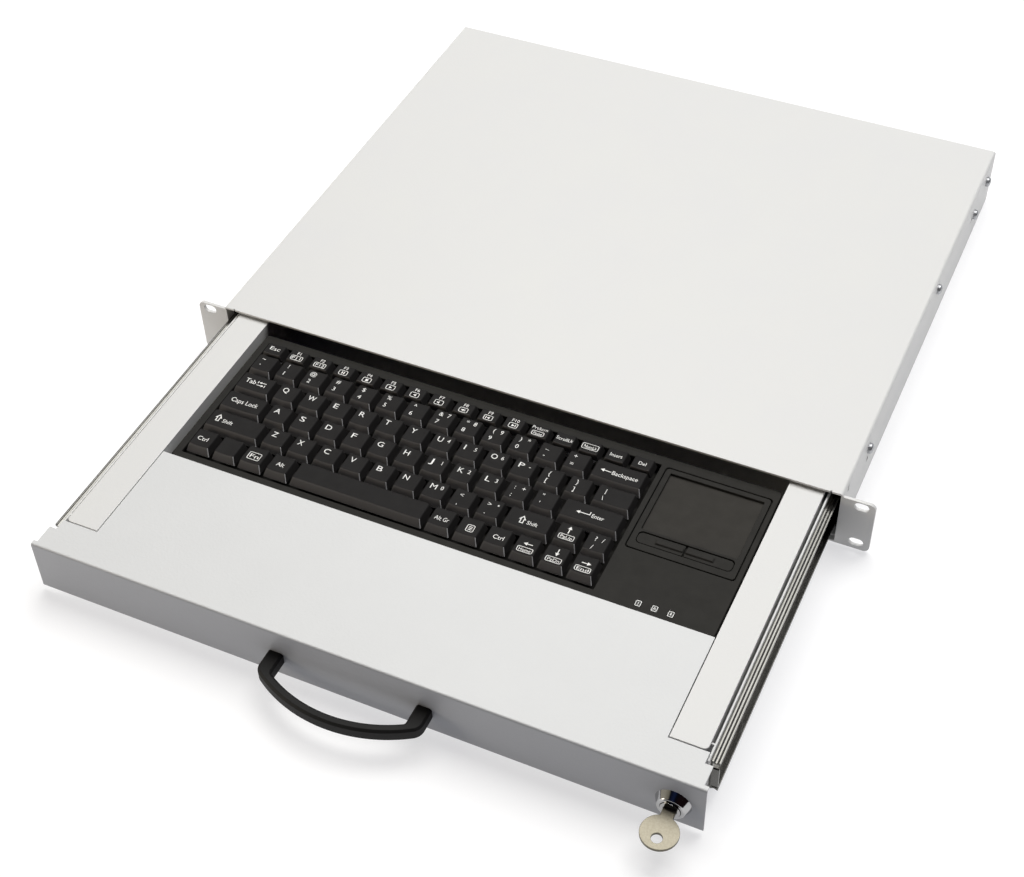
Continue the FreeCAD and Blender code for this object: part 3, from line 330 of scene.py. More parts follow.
# %% Metals
def drawn_metal(name, light, dark, rough_low, rough_high, grain_mm):
    """Bare metal with grain of a given width, length and height, in mm, along x, y and z."""
    material, tree, shader, place = blank_material(name)
    scale = tuple(1 / (size * MM) for size in grain_mm)
    stretch = add(tree, "Mapping", {"Scale": scale}, {"Vector": place})
    grain = add(tree, "TexNoise", {"Scale": 1.0, "Detail": 4.0}, {"Vector": stretch.outputs["Vector"]})
    stops = [(NOISE_LOW, dark), (NOISE_HIGH, light)]
    colour = add(tree, "ValToRGB", links={"Fac": grain.outputs["Fac"]}, stops=stops)
    tree.links.new(colour.outputs["Color"], shader.inputs["Base Color"])
    ends = {"To Min": rough_low, "To Max": rough_high}
    gloss = add(tree, "MapRange", ends, {"Value": grain.outputs["Fac"]})
    tree.links.new(gloss.outputs["Result"], shader.inputs["Roughness"])
    shader.inputs["Metallic"].default_value = 1.0
    return material


# Long light and dark streaks that run with the slide.
slide_steel = drawn_metal("rolled slide steel", "#6f6e6b", "#5a5956", 0.16, 0.3, (0.5, 40.0, 0.5))
# A pale, slightly blotched plating with soft highlights.
zinc = drawn_metal("bright zinc plate", "#b9babc", "#a4a6a9", 0.34, 0.5, (0.8, 0.8, 0.8))
# A near mirror with hard light and dark bands.
chrome = drawn_metal("polished chrome", "#b2b2b2", "#a6a6a7", 0.04, 0.10, (6.0, 6.0, 6.0))
# A warm grey that tumbling has left half dull.
nickel = drawn_metal("tumbled nickel brass", "#6a665b", "#5b574d", 0.25, 0.42, (1.2, 1.2, 1.2))
print("materials", slide_steel.name, zinc.name, chrome.name, nickel.name)

# %% [markdown]
# The plastics are moulded. ABS from a spark-eroded mould has a fine leather-like grain. The fronts of the
# keycaps are painted a paler grey by the same mask as the front paint: painted light, as from a lamp in
# front. The fronts of the
# keycaps keep a dry, paler grain where no finger rubs them, so they use the same mask as the front paint.
# The handle is glass-filled nylon. Real mould grain is about a tenth of a millimetre wide. It is drawn
# several times as coarse, because otherwise it wouldn't show.

# %% Moulded plastics and rubber
RESIN_CLOUD = 9 * MM


def moulded(name, light, dark, roughness, grain_mm, depth_mm, gloss=0.4, front=None):
    """Moulded plastic: one colour with faint clouds, its mould's grain, and at its front another colour, a
    painted light.
    """
    material, tree, shader, place = blank_material(name)
    cloud = add(tree, "TexNoise", {"Scale": 1 / RESIN_CLOUD, "Detail": 3.0}, {"Vector": place})
    stops = [(NOISE_LOW, dark), (NOISE_HIGH, light)]
    colour = add(tree, "ValToRGB", links={"Fac": cloud.outputs["Fac"]}, stops=stops).outputs["Color"]
    if front:
        colour = painted_front_tone(tree, colour, front)
    tree.links.new(colour, shader.inputs["Base Color"])
    shader.inputs["Roughness"].default_value = roughness
    shader.inputs["Specular IOR Level"].default_value = gloss
    grain = add(tree, "TexNoise", {"Scale": 1 / (grain_mm * MM), "Detail": 2.0}, {"Vector": place})
    height = {"Height": grain.outputs["Fac"]}
    skin = add(tree, "Bump", {"Strength": BUMP_STRENGTH, "Distance": depth_mm * MM}, height)
    tree.links.new(skin.outputs["Normal"], shader.inputs["Normal"])
    return material


# A dull, warm black that spreads all light.
case_black = moulded("grained black ABS", "#2c2b29", "#282725", 0.7, 0.7, 0.05, 0.1)
# The tops of the caps are dark and silky, and their fronts are painted a lighter grey, as if lit from the
# front.
cap_black = moulded("satin black keycap ABS", "#242323", "#201f1f", 0.65, 0.8, 0.03, 0.08, "#585656")
# A pale colour on the front right corner facets, a painted highlight that shows as thin pale lines.
cap_corner_highlight = moulded("keycap ABS with a painted highlight", "#c0c0c2", "#b2b2b4", 0.4, 0.8, 0.02, 0.4)
# A smoother and browner black than the case round it.
pad_black = moulded("smooth black touchpad film", "#33312e", "#2f2d2a", 0.65, 0.5, 0.02, 0.1)
# The deepest black, with a faint sheen along the chamfers.
grip_black = moulded("grained black nylon", "#121111", "#0d0d0d", 0.6, 0.9, 0.08, 0.2)
# A flat white ink that hides the black below it.
print_white = moulded("white pad print", "#e8e8e6", "#dcdcda", 0.6, 0.5, 0.01)
# Milky and dull, and hidden under the keys.
silicone = moulded("pale silicone mat", "#c9ccc4", "#bfc2ba", 0.6, 1.5, 0.05)
# Black and quite without gloss.
rubber = moulded("black rubber foot", "#1b1b1b", "#141414", 0.8, 1.0, 0.1)
# A glossy dark window that shows no lamp when it is off.
smoked = moulded("smoked indicator lens", "#201f1e", "#1a1918", 0.3, 3.0, 0.01, 0.2)
# A shiny green lacquer with faint waves from the copper under it.
board_green = moulded("green solder mask", "#1f5a36", "#184a2c", 0.35, 4.0, 0.03)
print("materials in all:", len(bpy.data.materials))

# %% [markdown]
# What lies hidden inside keeps its CAD shape and only gets its finish: the boards, the mat under the keys,
# the cages and balls of the slides, the lock's nut, cam and strike. New meshes for them would only be seen
# with the drawer taken apart, so they would add faces and no looks.

# %% Finishes on the CAD nodes that stay
STAYING = {
    zinc: (
        "lock_strike", "drawer_rail_screws", "ball_cage_left", "ball_cage_right", "handle_screws",
        "lock_nut", "lock_cam", "cam_screw",
    ),
    # The key guide plate and the touchpad board are black, which also serves as painted shade in the gaps
    # between the keys and in the split between the pad's buttons.
    case_black: ("key_guide_plate", "touchpad_board"),
    chrome: ("balls_left", "balls_right"),
    board_green: ("circuit_board",),
    silicone: ("dome_mat",),
    rubber: ("keyboard_feet",),
}
for finish, names in STAYING.items():
    for name in names:
        nodes[name].data.materials.clear()
        nodes[name].data.materials.append(finish)
print("CAD nodes kept:", sum(len(names) for names in STAYING.values()))

# %% [markdown]
# Sheet metal never has a knife-sharp edge: shearing and paint leave a radius of a few tenths of a
# millimetre, and that radius is what catches the light. The CAD sheets have the right shape, so each one
# is copied, its triangles are joined into whole faces again, and its edges get a small bevel. A bevel shader
# could fake the radius, but the meshes themselves wouldn't have it. On sheets with many punched holes the
# holes stay crisp, as a punch leaves them, and only long edges are rounded.

# %% Helpers that copy CAD nodes and soften edges
SHARP = math.radians(40)
FLAT = math.radians(0.3)
SAME_POINT = 0.001 * MM
LONG_EDGE = 2.5 * MM


def merged_copy(node, name):
    """A copy of a CAD node whose loose triangles are merged into whole faces."""
    piece = bpy.data.objects.new(name, nodes[node].data.copy())
    scene.collection.objects.link(piece)
    piece.data.materials.clear()
    only(piece)
    bpy.ops.mesh.customdata_custom_splitnormals_clear()
    edit(piece)
    bpy.ops.mesh.select_all(action="SELECT")
    bpy.ops.mesh.remove_doubles(threshold=SAME_POINT)
    bpy.ops.mesh.dissolve_limited(angle_limit=FLAT)
    bpy.ops.object.mode_set(mode="OBJECT")
    return piece


def finish_with(piece, kind, **settings):
    """Adds a modifier with its settings and applies it."""
    only(piece)
    tool = piece.modifiers.new(kind.lower(), kind)
    for name, value in settings.items():
        setattr(tool, name, value)
    bpy.ops.object.modifier_apply(modifier=tool.name)
    return piece


def smooth(piece, sharp=SHARP):
    """Shades a piece smooth, with its flat faces kept flat and its sharp edges sharp."""
    only(piece)
    bpy.ops.object.shade_smooth_by_angle(angle=sharp)
    return finish_with(piece, "WEIGHTED_NORMAL", keep_sharp=True)


def soften(piece, radius_mm, segments=2):
    """Rounds the sharp edges of a piece by a small radius."""
    finish_with(
        piece, "BEVEL", width=radius_mm * MM, segments=segments, limit_method="ANGLE", angle_limit=SHARP,
        use_clamp_overlap=False, loop_slide=False,
    )
    return smooth(piece)


def soften_long(piece, radius_mm):
    """Rounds only the long sharp edges of a sheet, and leaves its punched holes crisp."""
    edit(piece)
    pick(
        "edges",
        lambda edge: edge.is_convex and edge.calc_face_angle() > SHARP and edge.calc_length() > LONG_EDGE,
    )
    bpy.ops.mesh.bevel(offset=radius_mm * MM, segments=2, affect="EDGES", loop_slide=False)
    bpy.ops.object.mode_set(mode="OBJECT")
    return smooth(piece)


def settle(piece, node, finish):
    """Gives a finished piece its material, and puts it in the place of its CAD node."""
    if finish:
        piece.data.materials.clear()
        piece.data.materials.append(finish)
    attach(piece, body_of[node])
    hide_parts(node)


# %% Sheet metal, with the radius of each sheet's edges in mm
SHEETS = {
    "housing_shell": 0.18, "base_plate": 0.25, "rear_panel": 0.25, "palm_rest": 0.3, "keyboard_pan": 0.25,
    "side_cover_left": 0.3, "side_cover_right": 0.3,
}
for node, radius in SHEETS.items():
    rounding = soften_long if node == "housing_shell" else soften
    sheet = rounding(merged_copy(node, node + "_sheet"), radius)
    settle(sheet, node, front_paint_with_shade if node == "palm_rest" else paint)
    print(sheet.name, len(sheet.data.polygons), "faces")

# %% [markdown]
# The slides are roll-formed steel strips. They get the same treatment. The cabinet rails are full of holes,
# so only their long edges are rounded, while the drawer rails are plain enough to be rounded all over.

# %% Slide rails
RAIL_ROUND = 0.2  # in mm
RAILS = {
    "cabinet_rail_left": soften_long, "cabinet_rail_right": soften_long, "drawer_rail_left": soften,
    "drawer_rail_right": soften,
}
for node, rounding in RAILS.items():
    rail = rounding(merged_copy(node, node + "_strip"), RAIL_ROUND)
    settle(rail, node, slide_steel)
    print(rail.name, len(rail.data.polygons), "faces")

# %% [markdown]
# Pan-head screws hold the slides, and flat screws the base and covers. The CAD heads are plain discs. The
# pan heads get their domed rim from a bevel, and both kinds a cross recess. A bump could only paint the
# recess, so it is cut: crosses are set on all the heads of a group, joined, and taken out in one boolean.

# %% Screws with cross recesses
PAN_ROUND = 1.7 * MM
PAN_CROSS = (3.6, 1.2)  # span and depth in mm
FLAT_CROSS = (3.4, 0.9)
CROSS_SLIMNESS = 4.5  # span of a cross over the width of its bars


def cross_cutter(centres, axis, span_mm, depth_mm):
    """One object with a cross of two bars at each centre, standing along an axis."""
    bars = []
    stance = {"x": (0, math.pi / 2, 0), "z": (0, 0, 0)}[axis]
    for centre in centres:
        for quarter in (0, math.pi / 2):
            bpy.ops.object.select_all(action="DESELECT")
            bpy.ops.mesh.primitive_cube_add(size=1, location=centre)
            bar = bpy.context.object
            bar.scale = (span_mm * MM, span_mm * MM / CROSS_SLIMNESS, depth_mm * 2 * MM)
            bar.rotation_euler = stance
            bar.rotation_euler.rotate_axis("Z", quarter)
            bars.append(bar)
    only(*bars)
    bpy.ops.object.join()
    return done()


def carve(piece, cutter):
    """Cuts one object out of another and deletes the cutter."""
    finish_with(piece, "BOOLEAN", operation="DIFFERENCE", object=cutter, solver="EXACT", use_self=True)
    bpy.data.objects.remove(cutter)


def head_places(piece, axis, level):
    """The middles of the flat screw faces that lie at a level along an axis."""
    number = "xyz".index(axis)
    faces = [face for face in piece.data.polygons if abs(abs(face.center[number]) - level) < NEAR]
    return [face.center.copy() for face in faces]


pan_heads = merged_copy("side_screws", "side_pan_heads")
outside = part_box("side_screws")[1].x
edit(pan_heads)
pick("edges", lambda edge: all(abs(abs(vert.co.x) - outside) < NEAR for vert in edge.verts))
bpy.ops.mesh.bevel(offset=PAN_ROUND, segments=5, affect="EDGES")
bpy.ops.object.mode_set(mode="OBJECT")
carve(pan_heads, cross_cutter(head_places(pan_heads, "x", outside), "x", *PAN_CROSS))
smooth(pan_heads)
settle(pan_heads, "side_screws", zinc)
base_heads = merged_copy("base_screws", "base_flat_heads")
underside = abs(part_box("base_screws")[0].z)
carve(base_heads, cross_cutter(head_places(base_heads, "z", underside), "z", *FLAT_CROSS))
smooth(base_heads)
settle(base_heads, "base_screws", zinc)
cover_heads = smooth(merged_copy("side_cover_screws", "side_cover_flat_heads"))
settle(cover_heads, "side_cover_screws", zinc)
print("pan heads:", len(pan_heads.data.polygons), "faces, flat heads:", len(base_heads.data.polygons))

# %% [markdown]
# A keycap is a moulding that narrows upwards, most at its front, on a stem that goes down into the case. The
# CAD model says where the caps lie and how high they are. A row is 15 key units wide, and one unit, the
# pitch, is the width of a letter's key with the gap beside it.

# %% Keycap sizes
ROW_UNITS = 15
CAP_GAP = 1.8 * MM
CAP_HEIGHT = 5.6 * MM
STEM_WIDTH, STEM_ROUND = 5.0 * MM, 0.6 * MM
SIDE_TAPER, REAR_TAPER = 1.7 * MM, 0.7 * MM
FRONT_TAPER, FUNCTION_FRONT_TAPER = 2.7 * MM, 0.2 * MM
CORNER_ROUND, RIM_ROUND = 1.0 * MM, 0.7 * MM
DISH = 0.5 * MM
keys_low, keys_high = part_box("keys_function_row")
caps_left = keys_low.x - CAP_GAP / 2
pitch = (keys_high.x - keys_low.x + CAP_GAP) / ROW_UNITS
cap_top, stem_end = keys_high.z, keys_low.z
cap_bottom = cap_top - CAP_HEIGHT
print("key pitch in mm:", round(pitch / MM, 2), "cap top at", round(cap_top / MM, 2))


# %% [markdown]
# A cap's top is dished from side to side for the fingertip. A subdivision surface could give that, but with
# far too many faces for 81 caps. So a cube is tapered, its upright corners and its rim are rounded, its top
# is cut into strips and the middle strips are lowered. The middle facet of the front right corner gets a
# pale finish of its own, a painted highlight that draws a thin line down the corner. The widest caps aren't
# dished.

# %% One keycap
CAP_SHARP = math.radians(50)
FACES_UP = 0.9  # how far a normal has to point along an axis, from 0 to 1
FACES_CORNER = 0.45
DISH_CUTS = [0.15, 0.45, 0.75]  # shares of the top's half width
DISH_NEAR = 0.05 * MM


def stands(edge):
    """Whether an edge goes up rather than along."""
    return abs(edge.verts[0].co.z - edge.verts[1].co.z) > NEAR


def dish_top(half):
    """Cuts the top of the cap in edit mode into strips along y, and lowers them to a shallow dish."""
    for share in DISH_CUTS + [-share for share in DISH_CUTS]:
        bpy.ops.mesh.select_all(action="SELECT")
        bpy.ops.mesh.bisect(plane_co=(share * half, 0, 0), plane_no=(1, 0, 0))
    for share in DISH_CUTS:
        pick(
            "verts",
            lambda vert: abs(abs(vert.co.x) - share * half) < DISH_NEAR and vert.co.z > cap_top - RIM_ROUND,
        )
        bpy.ops.transform.translate(value=(0, 0, -DISH * (1 - share**2)))


def model_cap(width, depth, front_taper):
    """One keycap with its stem, around the origin in x and y, at its real height."""
    cap = block((-width / 2, -depth / 2, cap_bottom), (width / 2, depth / 2, cap_top))
    cap.data.materials.append(cap_black)
    cap.data.materials.append(cap_corner_highlight)
    edit(cap)
    pick("faces", lambda face: face.normal.z > FACES_UP)
    narrow = ((width - 2 * SIDE_TAPER) / width, (depth - front_taper - REAR_TAPER) / depth, 1)
    bpy.ops.transform.resize(value=narrow, center_override=(0, 0, cap_top))
    bpy.ops.transform.translate(value=(0, (front_taper - REAR_TAPER) / 2, 0))
    pick("edges", stands)
    bpy.ops.mesh.bevel(offset=CORNER_ROUND, segments=3, affect="EDGES")
    # The middle facet of the front right corner gets the pale painted highlight.
    if front_taper == FRONT_TAPER:
        pick("faces", lambda face: face.normal.x > FACES_CORNER and face.normal.y < -FACES_CORNER)
        cap.active_material_index = 1
        bpy.ops.object.material_slot_assign()
    pick("edges", lambda edge: all(vert.co.z > cap_top - NEAR for vert in edge.verts))
    bpy.ops.mesh.bevel(offset=RIM_ROUND, segments=3, affect="EDGES")
    if width < 2 * pitch:
        dish_top(width / 2 - SIDE_TAPER - RIM_ROUND)
    cap = done()
    half = STEM_WIDTH / 2
    stem = block((-half, -half, stem_end), (half, half, cap_bottom))
    edit(stem)
    pick("edges", stands)
    bpy.ops.mesh.bevel(offset=STEM_ROUND, segments=2, affect="EDGES")
    bpy.ops.object.mode_set(mode="OBJECT")
    only(cap, stem)
    bpy.ops.object.join()
    return smooth(cap, CAP_SHARP)


# %% [markdown]
# The rows are listed from the front to the back and each from the left, with every key's CAD node and its
# width in key units. Each width and depth is modelled once and copied to its places. Keys of one node move
# together, so their caps are joined into one piece.

# %% All keycaps
FUNCTION_KEYS = 16
ROWS = [
    [("keys_bottom_left", 1)] * 4 + [("key_space", 5)] + [("keys_bottom_right", 1)] * 3
    + [("key_left", 1), ("key_down", 1), ("key_right", 1)],
    [("key_shift_left", 2.25)] + [("keys_lower_row", 1)] * 9
    + [("key_shift_right", 1.75), ("key_up", 1), ("key_slash", 1)],
    [("key_caps_lock", 1.75)] + [("keys_home_row", 1)] * 11 + [("key_enter", 2.25)],
    [("key_tab", 1.5)] + [("keys_upper_row", 1)] * 12 + [("keys_upper_row", 1.5)],
    [("keys_number_row", 1)] * 13 + [("key_backspace", 2)],
    [("keys_function_row", ROW_UNITS / FUNCTION_KEYS)] * FUNCTION_KEYS,
]
patterns, caps, cap_places = {}, {}, []
for row in ROWS:
    low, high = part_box(row[0][0])
    left = caps_left
    depth = round((high.y - low.y) / MM, 2) * MM
    front_taper = FUNCTION_FRONT_TAPER if row is ROWS[-1] else FRONT_TAPER
    for node, units in row:
        if (units, depth) not in patterns:
            patterns[units, depth] = model_cap(units * pitch - CAP_GAP, depth, front_taper)
        cap = patterns[units, depth].copy()
        cap.data = cap.data.copy()
        scene.collection.objects.link(cap)
        cap.location = (left + units * pitch / 2, (low.y + high.y) / 2, 0)
        caps.setdefault(node, []).append(cap)
        cap_places.append((node, cap.location + Vector((0, (front_taper - REAR_TAPER) / 2, 0))))
        left += units * pitch
for pattern in patterns.values():
    bpy.data.objects.remove(pattern)
for node, members in caps.items():
    only(*members)
    if len(members) > 1:
        bpy.ops.object.join()
    caps[node] = done()
    caps[node].name = node + "_caps"
    settle(caps[node], node, None)
print("keycaps:", len(cap_places), "of", len(patterns), "shapes")

# %% [markdown]
# The legends are pad-printed in white. They could be a picture laid on the caps, but that needs a file and
# blurs from near. So letters are text objects, and arrows, boxes and small signs are flat curves. Text is
# sized by the height of its capitals, so the font's own capital height is measured first.

# %% The font's capitals
bpy.ops.object.select_all(action="DESELECT")
bpy.ops.object.text_add()
sample = bpy.context.object
sample.data.body = "H"
bpy.context.view_layer.update()
CAPITAL = sample.dimensions.y
bpy.data.objects.remove(sample)
print("capital height of the font:", round(CAPITAL, 3))

# %% [markdown]
# A mark starts flat, a little above the caps. The shrinkwrap modifier then lays it down on the dished top,
# and solidify gives it the thickness of ink. Every size and place is in millimetres from the middle of a
# cap's top.

# %% Marks
PRINT_LEVEL = cap_top + 2 * MM
INK_GAP, INK_THICKNESS = 0.03 * MM, 0.04 * MM
CURVE_STEPS = 3


def text_mark(at, text, cap, x, y, wide=None):
    """One line of text with its capitals' height, its middle, and its width if it is set."""
    bpy.ops.object.select_all(action="DESELECT")
    bpy.ops.object.text_add(location=(at.x + x * MM, at.y + (y - cap / 2) * MM, PRINT_LEVEL))
    line = bpy.context.object
    line.data.body = text
    line.data.align_x = "CENTER"
    line.data.size = cap * MM / CAPITAL
    line.data.resolution_u = CURVE_STEPS
    if wide:
        bpy.context.view_layer.update()
        line.scale.x = wide * MM / line.dimensions.x
    return line


def shape_mark(at, loops, x, y):
    """A flat filled shape from closed outlines in mm. An outline inside another is a hole."""
    sheet = bpy.data.curves.new("mark", "CURVE")
    sheet.dimensions = "2D"
    sheet.fill_mode = "BOTH"
    for loop in loops:
        line = sheet.splines.new("POLY")
        line.points.add(len(loop) - 1)
        for point, (across, up) in zip(line.points, loop):
            point.co = (across * MM, up * MM, 0, 1)
        line.use_cyclic_u = True
    mark = bpy.data.objects.new("mark", sheet)
    scene.collection.objects.link(mark)
    mark.location = (at.x + x * MM, at.y + y * MM, PRINT_LEVEL)
    return mark


def press_print(marks, name, target, body):
    """Joins marks into one mesh, lays it on the surface below it and gives it the thickness of ink."""
    only(*marks)
    bpy.ops.object.convert(target="MESH")
    if len(marks) > 1:
        bpy.ops.object.join()
    ink = done()
    ink.name = name
    finish_with(
        ink, "SHRINKWRAP", wrap_method="PROJECT", use_project_z=True, use_negative_direction=True,
        use_positive_direction=False, target=target, offset=INK_GAP,
    )
    finish_with(ink, "SOLIDIFY", thickness=INK_THICKNESS, offset=1.0)
    ink.data.materials.clear()
    ink.data.materials.append(print_white)
    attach(ink, body)


# %% [markdown]
# Arrows, boxes and signs are closed outlines, given by their corners in millimetres. An outline inside
# another is a hole, which turns a box into a printed line. The signs in the function keys' boxes are plain
# ones: pause, stop, play, back, quiet, loud, first and last.


# %% Outlines of arrows, boxes and signs
def bar(width, height, x=0.0, y=0.0):
    """A rectangle around a middle."""
    left, right, low, high = x - width / 2, x + width / 2, y - height / 2, y + height / 2
    return [(left, low), (right, low), (right, high), (left, high)]


def round_box(width, height, radius):
    """A rectangle whose corners are cut to two short steps, which print as round."""
    loop = []
    for across, up in ((-1, -1), (1, -1), (1, 1), (-1, 1)):
        steps = [(radius, 0), (radius * 0.3, radius * 0.3), (0, radius)]
        for inset_x, inset_y in steps if across * up < 0 else reversed(steps):
            loop.append((across * (width / 2 - inset_x), up * (height / 2 - inset_y)))
    return loop


def ring_box(width, height, line=0.42, radius=1.0):
    """The outer and inner outline of a printed box."""
    return [round_box(width, height, radius), round_box(width - 2 * line, height - 2 * line, radius * 0.6)]


def turned(loop, degrees):
    """An outline turned about its origin."""
    turn = Matrix.Rotation(math.radians(degrees), 2)
    return [tuple(turn @ Vector(point)) for point in loop]


def arrow(length, degrees=0, line=0.6, head=2.4):
    """An arrow with a full head that points to the right, or is turned from there."""
    neck = length / 2 - head
    side = [(-length / 2, line / 2), (neck, line / 2), (neck, head * 0.55), (length / 2, 0)]
    return turned(side + [(across, -up) for across, up in reversed(side[:-1])], degrees)


SHIFT_ARROW = [
    [(-1.3, -3.1), (1.3, -3.1), (1.3, -0.2), (2.4, -0.2), (0, 3.1), (-2.4, -0.2), (-1.3, -0.2)],
    [(-0.7, -2.5), (0.7, -2.5), (0.7, 0.4), (1.1, 0.4), (0, 2.0), (-1.1, 0.4), (-0.7, 0.4)],
]
ENTER_ARROW = [
    [(4.6, 2.4), (4.6, -0.3), (-2.2, -0.3), (-2.2, -1.3), (-4.6, 0), (-2.2, 1.3), (-2.2, 0.3), (4.0, 0.3),
     (4.0, 2.4)]
]
TAB_ARROWS = [
    [(across + 0.5, up + 1.3) for across, up in arrow(5.2, 180, 0.5, 1.7)], bar(0.5, 2.0, -2.9, 1.3),
    [(across - 0.5, up - 1.3) for across, up in arrow(5.2, 0, 0.5, 1.7)], bar(0.5, 2.0, 2.9, -1.3),
]
MENU = ring_box(5.2, 5.7) + [bar(2.4, 0.5, 0, level) for level in (-1.2, 0, 1.2)]
RIGHTWARDS = [(-1.0, -1.1), (1.0, 0), (-1.0, 1.1)]
SPEAKER = [(-1.4, -0.5), (-0.6, -0.5), (0.3, -1.2), (0.3, 1.2), (-0.6, 0.5), (-1.4, 0.5)]
SIGNS = [
    [bar(0.7, 2.2, -0.7), bar(0.7, 2.2, 0.7)],
    [bar(2.0, 2.0)],
    [RIGHTWARDS],
    [turned(RIGHTWARDS, 180)],
    [SPEAKER],
    [SPEAKER, bar(0.5, 1.6, 1.0)],
    [turned(RIGHTWARDS, 180), bar(0.5, 2.2, -1.5)],
    [RIGHTWARDS, bar(0.5, 2.2, 1.5)],
]
print("signs drawn:", len(SIGNS) + 4)


# %% [markdown]
# A legend is a list of marks, each with the function that draws it and what that function needs. Short
# helpers write the kinds that come again and again: a word, a word in a box, a letter, two signs above each
# other.

# %% Kinds of legends
LETTER_CAP, LETTER_LEFT, LETTER_UP = 4.1, -4.2, 2.2
NUMERAL_CAP, NUMERAL_RIGHT, NUMERAL_UP = 3.0, 3.5, 2.5
SIGN_CAP, SIGN_RIGHT = 3.3, 3.0
NAME_CAP, NAME_UP, SECOND_UP = 2.5, 2.6, -2.0
BOX_MARGINS = 2.6
# Widths of letters as shares of their height, and the share that all others have.
WIDTHS = {"I": 0.2, "J": 0.65, "W": 1.3} | dict.fromkeys("EFL", 0.78) | dict.fromkeys("ACDGMOQ", 1.0)
COMMON_WIDTH = 0.88


def word(text, wide, x=0.0, y=0.0, cap=3.2):
    """A word of a given width."""
    return [(text_mark, text, cap, x, y, wide)]


def boxed(text, width, height, x=0.0, y=0.0, cap=2.3):
    """A word in a printed box."""
    return [(shape_mark, ring_box(width, height), x, y), (text_mark, text, cap, x, y, width - BOX_MARGINS)]


def letters(line, numerals=""):
    """Single letters that start at the same distance from the left, the last of them with numerals."""
    keys = []
    for letter, numeral in zip(line, numerals.rjust(len(line))):
        wide = LETTER_CAP * WIDTHS.get(letter, COMMON_WIDTH)
        keys.append([(text_mark, letter, LETTER_CAP, LETTER_LEFT + wide / 2, LETTER_UP, wide)])
        if numeral != " ":
            keys[-1].append((text_mark, numeral, NUMERAL_CAP, NUMERAL_RIGHT, NUMERAL_UP))
    return keys


def pairs(line, x=-2.4, upper=3.7, lower=-3.2):
    """Keys with one sign over another, given as words of two signs, or three with the one at the right."""
    keys = []
    for signs in line.split():
        places = ((x, upper), (x, lower), (SIGN_RIGHT, upper))
        keys.append([(text_mark, sign, SIGN_CAP, *spot) for sign, spot in zip(signs, places)])
    return keys


def function_key(number):
    """A function key's name over a second function in a box."""
    label = [(text_mark, f"F{number}", NAME_CAP, 0.0, NAME_UP)]
    if number < 3:
        return label + boxed(f"F{number + 10}", 8.7, 4.4, 0.0, SECOND_UP, 2.4)
    return label + [(shape_mark, ring_box(6.3, 4.5) + SIGNS[number - 3], 0.0, SECOND_UP)]


# %% [markdown]
# The table has one legend for each cap, in the order of the rows. After a word comes its width, then its
# place and the height of its capitals. After a boxed word come the box's width and height first. All the
# marks on one piece of caps are printed as one piece, which rides on the same body.

# %% What stands on each key
LEGENDS = (
    [word("Ctrl", 7.3, -0.5, -0.4), [], boxed("Fn", 8.8, 6.3, 0.0, -0.9, 3.1), word("Alt", 5.5, 0.0, -0.5)]
    + [[], word("Alt Gr", 9.6, 0.3, -1.0), [(shape_mark, MENU, 0.6, -1.0)], word("Ctrl", 7.0, 0.6, -0.8)]
    + [[(shape_mark, [arrow(6.0, 180)], 0.4, 1.4)] + boxed("Home", 10.3, 4.2, 0.2, -3.6)]
    + [[(shape_mark, [arrow(5.7, 270)], 0.4, 2.4)] + boxed("PgDn", 10.3, 4.2, 0.2, -3.9)]
    + [[(shape_mark, [arrow(6.0)], 0.6, 1.4)] + boxed("End", 10.3, 4.2, 0.1, -3.6)]
    + [[(shape_mark, SHIFT_ARROW, -12.8, 0.7)] + word("Shift", 7.5, -5.4, -0.8, 2.9)]
    + letters("ZXCVBNM", "0") + pairs("<,", -1.8, 2.7, -4.0)
    + [pairs(">.", -1.8, 2.7, -4.0)[0] + [(shape_mark, [round_box(1.1, 1.1, 0.3)], 4.0, 3.2)]]
    + [[(shape_mark, SHIFT_ARROW, -4.0, -0.8)] + word("Shift", 7.0, 2.9, -2.0, 2.9)]
    + [[(shape_mark, [arrow(5.8, 90)], -0.2, 2.6)] + boxed("PgUp", 10.3, 4.2, 0.1, -3.6)]
    + pairs("?//", -1.8, 2.6, -4.4)
    + [word("Caps Lock", 19.6, 0.0, 0.4, 3.6)] + letters("ASDFGHJKL", "123")
    + pairs(":;+ \"'", -2.8, 3.0, -3.6)
    + [[(shape_mark, ENTER_ARROW, -5.2, -0.8)] + word("Enter", 7.9, 4.4, -0.8, 3.0)]
    + [word("Tab", 7.3, -4.2, 0.7, 3.7) + [(shape_mark, TAB_ARROWS, 3.7, 0.4)]]
    + letters("QWERTYUIOP", "456-") + pairs("{[ }]", -2.0, 2.6, -3.4) + pairs("|\\", -6.4, 2.6, -3.6)
    + pairs("~` !1 @2 #3 $4 %5 ^6 &77 *88 (99 )0* _- +=")
    + [[(shape_mark, [arrow(7.0, 180)], -8.6, -0.5)] + word("Backspace", 17.2, 4.2, -0.5)]
    + [word("Esc", 7.4, 0.0, 0.4, 3.1)] + [function_key(number) for number in range(1, 11)]
    + [word("PrtScrn", 10.6, -0.2, 2.1, 2.3) + boxed("Pause", 8.5, 3.9, -0.2, -2.4, 2.1)]
    + [word("ScrollLk", 11.2, 0.0, -0.4, 2.7), boxed("NumLk", 11.2, 5.0, 0.0, -0.4, 2.7)]
    + [word("Insert", 8.2, 0.0, -0.5, 2.7), word("Del", 5.0, 0.0, -0.5, 2.7)]
)
prints = {}
for (node, at), marks in zip(cap_places, LEGENDS, strict=True):
    for draw, *details in marks:
        prints.setdefault(node, []).append(draw(at, *details))
for node, marks in prints.items():
    press_print(marks, node + "_print", caps[node], body_of[node])
print("printed marks:", sum(len(marks) for marks in prints.values()))

